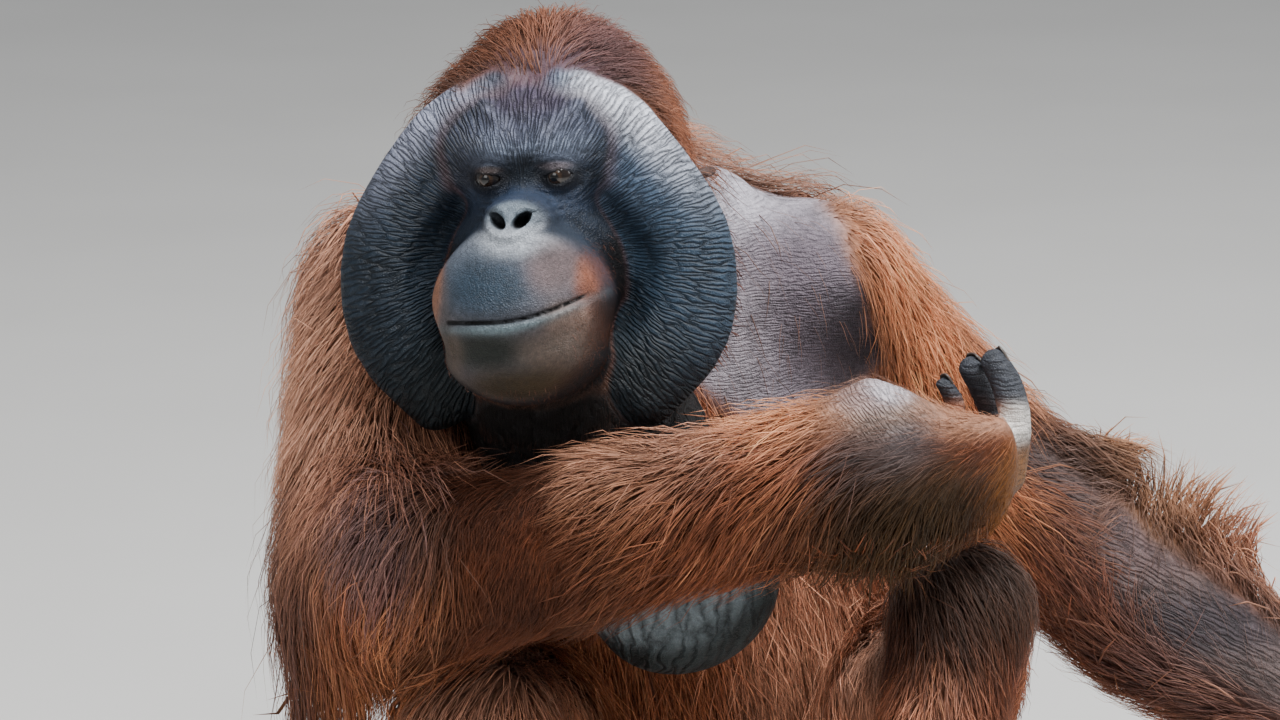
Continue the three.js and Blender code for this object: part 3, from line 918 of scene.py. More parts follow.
def settle(mesh: Mesh, body: Body, rounds: int, eps: float = 0.4, longest: float = 4.0) -> Mesh:
    """Mesh whose points are moved along the slope onto the skin's zero level.

    Args:
        mesh: Points near the skin.
        body: The body that gives the distance.
        rounds: Number of steps of Newton's method.
        eps: Distance over which the slope is measured.
        longest: Longest move in one step.

    Returns:
        The mesh with its points on the skin.
    """
    points = mesh.points
    for _ in range(rounds):
        value = body.distance(points)
        slope = [(body.distance(points + eps * axis) - value) / eps for axis in np.eye(3)]
        slope = np.stack(slope, axis=1)
        size = np.maximum((slope**2).sum(1), 0.3)
        move = (value / size)[:, None] * slope
        length = np.linalg.norm(move, axis=1, keepdims=True)
        points = points - move * np.minimum(1.0, longest / np.maximum(length, 1e-9))
    return Mesh(points, mesh.faces)


@dataclass(frozen=True)
class Spot:
    """Soft-edged oval spot of colour: place, half sizes, display colour and share."""

    place: Sequence[float]
    spread: Sequence[float]
    colour: tuple[int, int, int]
    share: float = 1.0

    def lay(self, colours: Array, points: Array) -> Array:
        """Colours under the spot, which fades as e to the minus a third of the fourth power."""
        away = (((points - np.asarray(self.place)) / np.asarray(self.spread)) ** 2).sum(1)
        return mixed(colours, self.share * np.exp(-0.33 * away**2), rgb(*self.colour))


SLATE = (34, 43, 56)
FACE_TONES_AND_PAINTED_LIGHT = (
    Spot((2, 86), (28, 18), (70, 62, 78), 0.85),
    # Pale brow skin, brightened further as a painted highlight against the shade under the brow ridge.
    Spot((-24, 45), (20, 11), (120, 130, 150), 0.7),
    Spot((27, 46), (20, 11), (120, 130, 150), 0.7),
    Spot((0, 62), (52, 9), (88, 92, 110), 0.5),
    Spot((0, 30), (13, 11), (27, 34, 42), 0.8),
    Spot((-45, 34), (14, 26), (36, 38, 50), 0.7),
    Spot((0, 8), (50, 9), (36, 48, 68), 0.8),
    # Near-black round the eyes: dark skin with painted shade of the deep sockets.
    Spot((-27, 25), (13, 8), (19, 18, 22), 0.95),
    Spot((26, 25), (13, 8), (19, 18, 22), 0.95),
    Spot((-26, 31), (8, 2.2), (60, 50, 48), 0.8),
    # Painted highlight on the upper lid of the animal's left eye, over the lid's own colour.
    Spot((24, 33), (10, 2.6), (74, 66, 70), 0.8),
)
MUZZLE_TINT = (86, 84, 90)
MUZZLE_TONES_AND_PAINTED_SHADE = (
    Spot((2, 0), (20, 13), (104, 116, 126), 0.95),
    Spot((2, -20), (34, 9), (164, 170, 178), 0.9),
    Spot((-36, -30), (16, 13), (96, 104, 116), 0.85),
    Spot((-14, -52), (33, 19), (38, 54, 68), 0.97),
    Spot((-54, -62), (7, 16), (104, 96, 96), 0.6),
    Spot((34, -38), (15, 17), (94, 78, 78), 0.85),
    Spot((-63, -54), (8, 22), (164, 112, 84), 0.85),
    Spot((57, -43), (8, 22), (150, 86, 56), 0.8),
    Spot((58, -88), (9, 26), (80, 44, 30), 0.85),
    Spot((42, -80), (12, 12), (128, 106, 94), 0.8),
    # Near-black below the lower lip: dark chin skin with painted shade in the groove under the lip.
    Spot((-18, -98), (31, 13), (17, 24, 17), 0.96),
    Spot((-50, -100), (11, 18), (78, 66, 56), 0.8),
    Spot((34, -104), (21, 17), (84, 70, 60), 0.9),
    Spot((4, -126), (40, 12), (46, 34, 12), 0.95),
)
HIDE_TONES_AND_PAINTED_LIGHT = (
    # Painted highlight: the top of the bare chest skin made very pale, over its lavender-grey.
    Spot((20, -20, 590), (80, 130, 40), (190, 186, 196), 0.95),
    Spot((58, -70, 492), (44, 90, 62), (92, 82, 92), 0.7),
    # Painted shade: dark where the chest skin curves under towards the left arm.
    Spot((98, -80, 456), (26, 90, 34), (38, 31, 38), 0.85),
    Spot((-16, -70, 450), (36, 90, 60), (150, 142, 148), 0.6),
    # Pale wrist top: grey bare skin with a painted highlight from above.
    Spot((80, -340, 478), (24, 40, 12), (170, 142, 140), 0.7),
    Spot((113, -345, 482), (17, 40, 9), (206, 202, 212), 0.8),
    Spot((128, -350, 441), (20, 26, 12), (86, 96, 110), 0.85),
    Spot((168, -324, 450), (28, 34, 9), (196, 138, 108), 0.9),
    Spot((205, -308, 444), (13, 18, 12), (200, 194, 188), 0.95),
    Spot((206, -305, 410), (18, 26, 16), (120, 80, 44), 0.95),
    Spot((384, 60, 190), (90, 70, 20), (50, 44, 50), 0.8),
    Spot((330, 60, 260), (50, 70, 30), (92, 74, 74), 0.7),
)


@dataclass(frozen=True)
class Stroke:
    """Brushing of the coat near a place: which way it goes, how long and how free it is."""

    place: Place
    spread: Place
    heading: Place
    share: float = 0.8
    longer: float = 0.0
    free: float = 0.0

    def weight(self, points: Array) -> Array:
        """Bell curve of the distance from the stroke's place, in its spreads."""
        away = (((points - np.asarray(self.place)) / np.asarray(self.spread)) ** 2).sum(1)
        return np.exp(-0.5 * away)


STROKES = (
    Stroke((-280, -120, 440), (70, 90, 90), (-0.2, -0.15, -1.0), 0.7),
    Stroke((-318, -285, 300), (56, 90, 70), (-0.1, 0.0, -1.0), 1.3, 0.8, 1.0),
    Stroke((-120, -350, 290), (130, 60, 26), (-0.7, 0.0, -0.7), 0.7, 0.3, 0.8),
    Stroke((292, 130, 330), (60, 80, 50), (0.75, 0.0, 0.65), 1.6, 0.2, 1.0),
    Stroke((420, 130, 240), (140, 60, 70), (0.6, 0.0, 0.8), 1.6, 0.0, 1.0),
    Stroke((30, -60, 300), (110, 90, 110), (0.25, 0.0, -1.0), 0.5),
    Stroke((168, -270, 330), (60, 60, 40), (0.6, -0.5, -0.6), 2.0, 0.5, 0.5),
    Stroke((-228, -290, 418), (70, 60, 40), (0.3, -0.2, -1.0), 1.2),
    Stroke((140, -340, 384), (80, 50, 22), (0.3, 0.0, -1.0), 0.8, 0.7, 0.8),
    Stroke((-216, -290, 215), (50, 60, 50), (-0.8, -0.2, -0.6), 1.0, 0.8, 0.6),
)


HAIR_LOST = {"pouch": 0.97, "palm": 0.96, "chest": 0.965, "inner": 0.75, "wrist": 0.78, "thin": 0.55}
HIDE_TINTS = {
    "chest": (122, 112, 120), "inner": (84, 70, 68), "wrist": (126, 112, 106),
    "palm": (56, 59, 66), "pouch": (104, 114, 118),
}


@dataclass
class SkinField:
    """Colour, bareness and lie of the hair over the skin, blended between the limbs."""

    body: Body

    def limbs(self) -> list[Limb]:
        """Every limb of the body with its ears."""
        return [limb for group in self.body.groups.values() for limb in group] + self.body.head.ears

    def blend(self, points: Array) -> Shares:
        """Coat numbers at points: the mean of the limbs' own, each weighted by nearness.

        A limb's weight falls to 1/e over nine millimetres away from it. The lie is the
        limb's heading, turned about where its coat lies inwards, with a share of straight
        down, and the head's skull hair lies backwards and down from the brow.

        Args:
            points: Skin points, one per row.

        Returns:
            Arrays named lie, length, depth, density, warmth, shade, free, beard and fringe.
        """
        count = len(points)
        total = np.full(count, 1e-6)
        sums = {name: np.zeros(count) for name in ("length", "depth", "density", "warmth", "shade")}
        lie = np.zeros((count, 3))
        for limb in self.limbs():
            near = np.flatnonzero(limb.near(points, 36))
            if not len(near):
                continue
            weight = np.exp(-np.maximum(limb.distance(points[near]), 0.0) / LIMB_FADE)
            heading = limb.coordinates(points[near])[2] * limb.coat.flow.value
            flow = unit(heading * (1 - limb.coat.droop) + DOWN * limb.coat.droop)
            lie[near] += weight[:, None] * flow
            total[near] += weight
            for name, values in sums.items():
                values[near] += weight * getattr(limb.coat, name)
        head = self.body.head
        place = head.local(points)
        near = np.flatnonzero((np.abs(place - [0, 0, 10]) < 190).all(1))
        weight = np.exp(-np.maximum(head.distance(points[near]), 0.0) / LIMB_FADE)
        a, b, c = place[near].T
        forward = ease(60, 150, b) * ease(-40, 0, c)
        upward = 0.5 * forward - 0.5 * ease(0, -60, c)
        flow = np.stack([a / 70.0, upward, 0.4 * forward - 0.9 + 0 * a], axis=1)
        flow = unit(flow @ head.matrix.T + 0.35 * DOWN)
        lie[near] += weight[:, None] * flow
        total[near] += weight
        for name, values in sums.items():
            values[near] += weight * getattr(head.coat, name)
        out = {name: values / total for name, values in sums.items()}
        lie = unit(lie)
        out["free"] = np.zeros(count)
        for stroke in STROKES:
            weight = stroke.weight(points)
            lie = lie + (stroke.share * weight * 2.0)[:, None] * unit(np.asarray(stroke.heading))
            out["length"] = out["length"] * (1 + stroke.longer * weight)
            out["free"] = np.maximum(out["free"], stroke.free * weight)
        beard = np.exp(-0.5 * (((place - [4, -146, 52]) / [52, 24, 40]) ** 2).sum(1))
        beard, fringe = ease(0.3, 0.7, beard), self.fringe(place)
        out["length"] = out["length"] * (1 - fringe) + 8.0 * fringe
        out["length"] = out["length"] * (1 - beard) + 34.0 * beard
        out["depth"] = out["depth"] * (1 - np.maximum(fringe, beard)) + 4.0 * fringe + 10.0 * beard
        lie = lie + ((2 * fringe + 3 * beard)[:, None]) * unit(np.array([0.0, -0.25, -1.0]))
        return {**out, "beard": beard, "fringe": fringe, "lie": unit(lie)}

    def fringe(self, place: Array) -> Array:
        """Share of short reddish hair on both sides of the muzzle and along the jaw."""
        a, b, c = place.T
        aside = np.abs(a + 6)
        on_side = ease(44, 54, aside) * ease(-12, -34, b) * ease(-146, -130, b)
        jaw = ease(-122, -134, b) * ease(62, 40, aside)
        return np.clip(on_side + 0.7 * jaw, 0, 1) * ease(34, 48, c) * ease(70, 62, aside)

    def cover(self, points: Array, limbs: Sequence[Limb], margin: float, far: float, close: float) -> Array:
        """Share of points on some limbs: 0 from a far distance off them, 1 up to a close one."""
        out = np.zeros(len(points))
        for limb in limbs:
            near = limb.near(points, margin)
            out[near] = np.maximum(out[near], ease(far, close, limb.distance(points[near])))
        return out

    def bare(self, points: Array, normals: Array) -> Shares:
        """Shares of naked skin by kind: face, pads, palms, soles, throat, chest, wrist.

        Args:
            points: Skin points.
            normals: Outward directions there.

        Returns:
            One array from 0 to 1 for each kind.
        """
        body = self.body
        head = body.head
        place = head.local(points)
        x, y, z = points.T
        a, b, c = place.T
        forward = (normals @ head.matrix)[:, 2]
        close = (np.abs(place - [0, -10, 20]) < 185).all(1)
        on_head = np.zeros(len(points))
        on_head[close] = ease(10, 2, np.abs(head.distance(points[close])))
        turn, radius = head.pad_polar(place)
        inside = ease(110, 98, radius) * ease(-50, -30, c) * ease(-0.5, -0.1, forward)
        face = np.maximum(on_head * ease(132, 118, radius) * ease(4, 16, c), inside)
        crown = ease(88, 103, b + 7 * value_noise(points, 13, 13) - 13 * bump(a, 6, 26))
        low_back = ease(0.9, 1.2, np.abs(turn)) * ease(-0.98, -0.8, forward)
        pad = self.cover(points, head.pads, 12, 9, 3)
        pad = pad * np.maximum(ease(-0.5, -0.1, forward), low_back) * (1 - crown)
        face = face * (1 - crown)
        pouch = self.cover(points, [body.pouch], 20, 12, 3)
        palm = self.cover(points, body.digit_limbs, 10, 8, 2)
        for limb, facing in (
            (body.palm_right, (0.25, 0.93, -0.1)),
            (body.palm_left, (0, 0, -1)),
            (body.sole_left, (0, 0, -1)),
            (body.sole_right, (0, 0, -1)),
        ):
            near = limb.near(points, 10)
            on = ease(9, 2, limb.distance(points[near]))
            palm[near] = np.maximum(palm[near], on * ease(0.1, 0.5, normals[near] @ np.array(facing)))
        away = np.hypot((x - 14 - 0.4 * (500 - z)) / 88, (z - 500) / 118) + 0.09 * value_noise(points, 26, 17)
        chest = ease(1.12, 0.86, away) * ease(-0.5, 0.0, -normals[:, 1]) * ease(-250, -200, y)
        chest = chest * ease(24, -14, y)
        inner = self.cover(points, (body.fore_left, body.upper_left), 20, 12, 3)
        inner = inner * ease(0.1, 0.6, -normals[:, 1]) * ease(-0.3, 0.1, normals[:, 2])
        inner = inner * ease(412, 362, z + 0.1 * (x - 230)) * ease(0.8, 0.55, normals[:, 2])
        wrist = bump(x, 100, 28) * bump(z, 472, 20) * ease(-250, -300, y)
        return {
            "face": face * (1 - pad),
            "pad": pad,
            "pouch": pouch * (1 - np.maximum(face, pad)),
            "palm": palm,
            "chest": chest * (1 - np.maximum(face, pad)),
            "inner": inner,
            "wrist": np.clip(wrist, 0, 1),
            "thin": ease(86, 100, b) * ease(134, 112, b) * bump(a, 6, 34) * ease(-10, 25, c),
            "polar_turn": turn,
            "polar_reach": radius,
        }

    def density(self, coat: Shares, bare: Shares) -> Array:
        """Share of the full number of locks at each point, nothing on naked skin."""
        keep = 1 - np.clip(bare["face"] + bare["pad"], 0, 1)
        for kind, lost in HAIR_LOST.items():
            keep = keep * (1 - lost * bare[kind])
        on_chin = np.maximum(coat["beard"] * 1.2, coat["fringe"] * 0.28) * (1 - bare["pad"])
        return np.maximum(coat["density"] * keep, on_chin)

    def fur(self, points: Array, warmth: Array, shade: Array, upward: Array) -> Array:
        """Colour of the coat at places: from deep to bright by warmth, with painted sky sheen making it paler
        where it faces up.

        Args:
            points: Places on the skin.
            warmth: From 0, deep brown, to 1, bright orange.
            shade: Lightness of the coat there.
            upward: Upward part of the skin's normals.

        Returns:
            Linear colours, one per row.
        """
        warm = warmth[:, None]
        deep, middle, bright = rgb(80, 36, 19), rgb(156, 87, 54), rgb(224, 150, 104)
        lower, upper = deep + (middle - deep) * warm * 2, middle + (bright - middle) * (warm * 2 - 1)
        out = np.where(warm < 0.5, lower, upper)
        # Painted sheen: hair facing up is mixed towards pale pink, standing in for sky light on its top.
        out = mixed(out, 0.42 * ease(0.15, 0.9, upward), rgb(216, 172, 148))
        for spot in COAT_TONES_AND_PAINTED_LIGHT:
            out = spot.lay(out, points)
        return out * shade[:, None]

    def colour(self, points: Array, bare: Shares, coat: Shares, upward: Array) -> Array:
        """Colour of the skin: that of the coat, dimmed, under it, and by kind where it is naked.

        Args:
            points: Skin points.
            bare: Shares of naked skin.
            coat: The coat's numbers there.
            upward: Upward part of the normals.

        Returns:
            Linear colours, one per row.
        """
        head = self.body.head
        x, _, z = points.T
        out = self.fur(points, coat["warmth"], coat["shade"], upward) * 0.55
        for kind, colour in HIDE_TINTS.items():
            out = mixed(out, bare[kind], rgb(*colour))
        naked = np.clip(bare["chest"] + bare["inner"] + bare["wrist"] + bare["palm"], 0, 1)
        for spot in HIDE_TONES_AND_PAINTED_LIGHT:
            out = mixed(out, naked, spot.lay(out, points))
        out = mixed(out, bare["thin"] * 0.85, rgb(84, 66, 76))
        # Painted shade on the pouch: darker towards its edges, and near-black at the top, where the chin
        # shades it, with the dark hair there.
        rim = np.hypot((x + 70) / 88, (z - 318) / 66)
        out = mixed(out, bare["pouch"] * ease(0.72, 1.1, rim), rgb(34, 40, 40))
        out = mixed(out, bare["pouch"] * ease(360, 410, z) * 0.95, rgb(13, 9, 9))
        for ear in head.ears:
            near = ear.near(points, 6)
            out[near] = mixed(out[near], ease(5, 1, ear.distance(points[near])), rgb(74, 54, 48))
        out = mixed(out, bare["face"], self.face_colour(head.local(points)))
        return mixed(out, bare["pad"], self.pad_colour(points, bare))

    def face_colour(self, place: Array) -> Array:
        """Colour of the face and muzzle at places in the head's own axes."""
        head = self.body.head
        a, b, c = place.T
        flat = place[:, :2]
        edge = np.hypot((a + 3) / 66.0, (b + 74.0) / 66.0)
        narrow = np.hypot((a - 2) / 24.0, (b + 6) / 16.0)
        in_front = ease(60, 90, c)
        muzzle = np.maximum(ease(1.04, 0.92, edge), ease(1.1, 0.8, narrow)) * ease(50, 66, c)
        face, snout = (rgb(*tint) * np.ones((len(place), 1)) for tint in (SLATE, MUZZLE_TINT))
        for spot in FACE_TONES_AND_PAINTED_LIGHT:
            face = spot.lay(face, flat)
        for spot in MUZZLE_TONES_AND_PAINTED_SHADE:
            snout = spot.lay(snout, flat)
        # Painted shade: near-black on the lower face where it lies back, between muzzle and pads, and under
        # the chin.
        under = np.maximum(ease(76, 44, c), ease(-48, -78, b))
        face = mixed(face, 0.92 * under * ease(-4, -34, b), rgb(13, 10, 10))
        low_side = ease(0.84, 0.98, edge) * ease(-52, -72, b) * ease(10, 40, a)
        snout = mixed(snout, 0.85 * low_side, rgb(52, 30, 20))
        face = mixed(face, muzzle, snout)
        face = mixed(face, 0.5 * head.furrow(place), rgb(112, 116, 134))
        line = b - head.mouth(a)
        # Pale band on the lower lip: its own pale skin with a painted highlight on the lip's bulge.
        lip = bump(line, -5.5, 2.6) * bump(a, 0, 34) * in_front
        face = mixed(face, 0.8 * lip, rgb(108, 126, 132))
        gap = ease(2.2, 0.6, np.abs(line)) * ease(-50, -46, a) * ease(55, 50, a) * in_front
        face = mixed(face, gap, rgb(16, 15, 16))
        for sign in (-1, 1):
            face = mixed(face, ease(1.15, 0.75, head.nostril(place, sign)) * in_front, rgb(10, 9, 10))
        return face

    def pad_colour(self, points: Array, bare: Shares) -> Array:
        """Colour of the cheek pads at skin points, with painted light: a painted highlight on the upper rims,
        painted shade lower down and near-black at the bottom, and the pad on the animal's right painted
        darker as if in shade.
        """
        head = self.body.head
        turn = np.abs(bare["polar_turn"])
        # Painted shade: the pad on the animal's right gets darker colours than the other.
        left = ease(30, -30, head.local(points)[:, 0])[:, None]
        high = rgb(76, 91, 112) * (1 - left) + rgb(34, 44, 58) * left
        low = rgb(42, 58, 74) * (1 - left) + rgb(25, 36, 47) * left
        pale = rgb(128, 132, 150) * left + rgb(186, 189, 200) * (1 - left)
        rim = ease(-36, -6, bare["polar_reach"] - head.rim_at(turn))
        # Painted shade darkens each pad lower down; a painted highlight makes the upper rims pale.
        pad = mixed(high, ease(0.5, 1.7, turn), low)
        pad = mixed(pad, rim * ease(0.12, 0.4, turn) * (1 - ease(0.6, 1.6, turn)), pale)
        # Painted shade: near-black at the pads' bottom.
        pad = mixed(pad, ease(1.75, 2.5, turn) * 0.85, rgb(11, 17, 18))
        return pad * (1 + 0.2 * value_noise(points, 24, 11)[:, None])


class Tree:
    """Node tree of one material, with short ways to add and join its nodes."""

    def __init__(self, name: str, roughness: float, specular: float = 0.5) -> None:
        """Starts the material with its main shader.

        Args:
            name: Material name.
            roughness: Roughness of the surface.
            specular: Specular level.
        """
        self.material = bpy.data.materials.new(name)
        self.material.use_nodes = True
        self.nodes, self.links = self.material.node_tree.nodes, self.material.node_tree.links
        self.shader = self.nodes["Principled BSDF"]
        self.shader.inputs["Roughness"].default_value = roughness
        self.shader.inputs["Specular IOR Level"].default_value = specular
        self.coords = self.nodes.new("ShaderNodeTexCoord").outputs["Object"]

    def put(self, slot: Socket, value: object) -> None:
        """Links a socket into an input, or sets its number; None leaves it."""
        if isinstance(value, Socket):
            self.links.new(value, slot)
        elif value is not None:
            slot.default_value = value

    def add(self, kind: str, settings: dict[str, object], *values: object) -> bpy.types.Node:
        """Adds a node with its settings, and values or sockets for its first inputs."""
        node = self.nodes.new(f"ShaderNode{kind}")
        for name, value in settings.items():
            setattr(node, name, value)
        for slot, value in zip(node.inputs, values):
            self.put(slot, value)
        return node

    def maths(self, kind: str, *values: object) -> Socket:
        """Result of a sum of two or three values, each a socket or a number."""
        return self.add("Math", {"operation": kind}, *values).outputs[0]

    def noise(self, scale: float, detail: float, vector: Socket | None = None) -> bpy.types.Node:
        """Noise texture on object coordinates or another vector."""
        node = self.add("TexNoise", {}, vector or self.coords)
        node.inputs["Scale"].default_value = scale
        node.inputs["Detail"].default_value = detail
        return node

    def attribute(self, name: str) -> bpy.types.Node:
        """Attribute node of a layer."""
        return self.add("Attribute", {"attribute_name": name})

    def ramp(self, value: Socket, stops: Sequence[tuple[float, tuple]]) -> Socket:
        """Colour ramp over a value, from places and linear colours."""
        node = self.add("ValToRGB", {}, value)
        elements = node.color_ramp.elements
        while len(elements) < len(stops):
            elements.new(0.5)
        for element, (place, colour) in zip(elements, stops):
            element.position = place
            element.color = (*colour, 1)
        return node.outputs["Color"]

    def paint(self, colour: Socket, gain: Socket | float = 1.0) -> None:
        """Gives the shader a colour times a gain."""
        node = self.add("VectorMath", {"operation": "SCALE"}, colour)
        self.put(node.inputs["Scale"], gain)
        self.put(self.shader.inputs["Base Color"], node.outputs["Vector"])

    def emboss(self, height: Socket, strength: float, distance: float) -> None:
        """Gives the shader a bump from a height."""
        node = self.add("Bump", {})
        self.put(node.inputs["Strength"], strength)
        self.put(node.inputs["Distance"], distance)
        self.put(node.inputs["Height"], height)
        self.put(self.shader.inputs["Normal"], node.outputs["Normal"])


@dataclass(frozen=True)
class HideFinish:
    """Leathery skin: tint attribute with blotches, ridges, fine creases and pores."""

    name: str = "leathery_skin"
    roughness: float = 0.52
    blotch_scale: float = 38.0
    pore_scale: float = 520.0

    def cells(self, tree: Tree, vector: Socket, scale: float, flat: bool) -> Socket:
        """Distance from the edges of a cell pattern, up to 0.3 of a cell.

        Args:
            tree: The material's tree.
            vector: Where the pattern is read.
            scale: Cells to a unit.
            flat: Whether the pattern has two dimensions only.

        Returns:
            The distance.
        """
        settings = {"feature": "DISTANCE_TO_EDGE", "voronoi_dimensions": "2D" if flat else "3D"}
        node = tree.add("TexVoronoi", settings, vector)
        node.inputs["Scale"].default_value = scale
        return tree.maths("MINIMUM", node.outputs["Distance"], 0.3)

    def material(self) -> Finish:
        """Builds the node tree: the tint times blotches with painted light following the ridges, pores and
        fine creases, and bump from the same patterns.
        """
        tree = Tree(self.name, self.roughness, 0.3)
        grain = tree.attribute(GRAIN_LAYER).outputs["Vector"]
        share = tree.add("SeparateXYZ", {}, grain).outputs["Z"]
        naked = tree.attribute(PORE_LAYER).outputs["Fac"]
        fine = tree.noise(300.0, 5.0).outputs["Fac"]
        wander = tree.noise(55.0, 2.0).outputs["Color"]
        shaken = tree.add("VectorMath", {"operation": "MULTIPLY_ADD"}, wander, (1.6, 0.8, 0.0), grain)
        ridge = tree.maths("MULTIPLY", self.cells(tree, shaken.outputs["Vector"], 1.0, True), share)
        pores = tree.maths("MULTIPLY", self.cells(tree, tree.coords, self.pore_scale, False), naked)
        height = tree.maths("MULTIPLY_ADD", ridge, 4.5, tree.maths("MULTIPLY", pores, 0.9))
        tree.emboss(tree.maths("MULTIPLY_ADD", fine, 0.8, height), 0.9, 0.0016)
        gain = tree.maths("MULTIPLY_ADD", tree.noise(self.blotch_scale, 8.0).outputs["Fac"], 1.2, 0.4)
        # Painted light: the colour follows the bump, lighter on raised ridges, pores and noise, darker in
        # their grooves as shade.
        for pattern, level, strength in ((ridge, share, 2.6), (pores, naked, 0.9)):
            apart = tree.maths("SUBTRACT", pattern, tree.maths("MULTIPLY", level, 0.13))
            gain = tree.maths("MULTIPLY_ADD", apart, strength, gain)
        gain = tree.maths("MULTIPLY_ADD", tree.maths("SUBTRACT", fine, 0.5), 1.3, gain)
        tree.paint(tree.attribute(COLOUR_LAYER).outputs["Color"], tree.maths("MAXIMUM", gain, 0.05))
        return tree.material


@dataclass(frozen=True)
class HairFinish:
    """Coarse hair: tint attribute with fine streaks, and a soft gloss."""

    name: str = "coarse_hair"
    roughness: float = 0.55
    streak_scale: float = 160.0

    def material(self) -> Finish:
        """Builds the node tree: the tint times fine noise."""
        tree = Tree(self.name, self.roughness, 0.35)
        streaks = tree.noise(self.streak_scale, 4.0).outputs["Fac"]
        gain = tree.maths("MULTIPLY_ADD", streaks, 0.8, 0.6)
        tree.paint(tree.attribute(COLOUR_LAYER).outputs["Color"], gain)
        return tree.material


def new_piece(name: str, points: Array, faces: Array, material: Finish) -> Piece:
    """Smoothly shaded triangle mesh object in metres, riding on the body.

    Args:
        name: Piece name.
        points: Places in metres, in the frame.
        faces: Rows of three point numbers.
        material: Its finish.

    Returns:
        The object.
    """
    mesh = bpy.data.meshes.new(name)
    mesh.vertices.add(len(points))
    mesh.vertices.foreach_set("co", np.ascontiguousarray(points, np.float32).ravel())
    mesh.loops.add(faces.size)
    mesh.loops.foreach_set("vertex_index", np.ascontiguousarray(faces, np.int32).ravel())
    mesh.polygons.add(len(faces))
    mesh.polygons.foreach_set("loop_start", np.arange(len(faces), dtype=np.int32) * 3)
    mesh.polygons.foreach_set("loop_total", np.full(len(faces), 3, np.int32))
    mesh.polygons.foreach_set("use_smooth", np.ones(len(faces), bool))
    mesh.update(calc_edges=True)
    mesh.materials.append(material)
    piece = bpy.data.objects.new(name, mesh)
    bpy.context.scene.collection.objects.link(piece)
    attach(piece, ROOT)
    LOG.info("%s: %d triangles", name, len(faces))
    return piece


def set_layer(piece: Piece, name: str, kind: str, values: Array) -> None:
    """Puts a per-point attribute on a piece: FLOAT_COLOR, FLOAT_VECTOR or FLOAT."""
    layer = piece.data.attributes.new(name, kind, "POINT")
    key = {"FLOAT_COLOR": "color", "FLOAT_VECTOR": "vector", "FLOAT": "value"}[kind]
    layer.data.foreach_set(key, np.ascontiguousarray(values, np.float32).ravel())


def with_alpha(colours: Array) -> Array:
    """Colours with a fourth value of one."""
    return np.concatenate([np.clip(colours, 0, 1), np.ones((len(colours), 1))], axis=1)


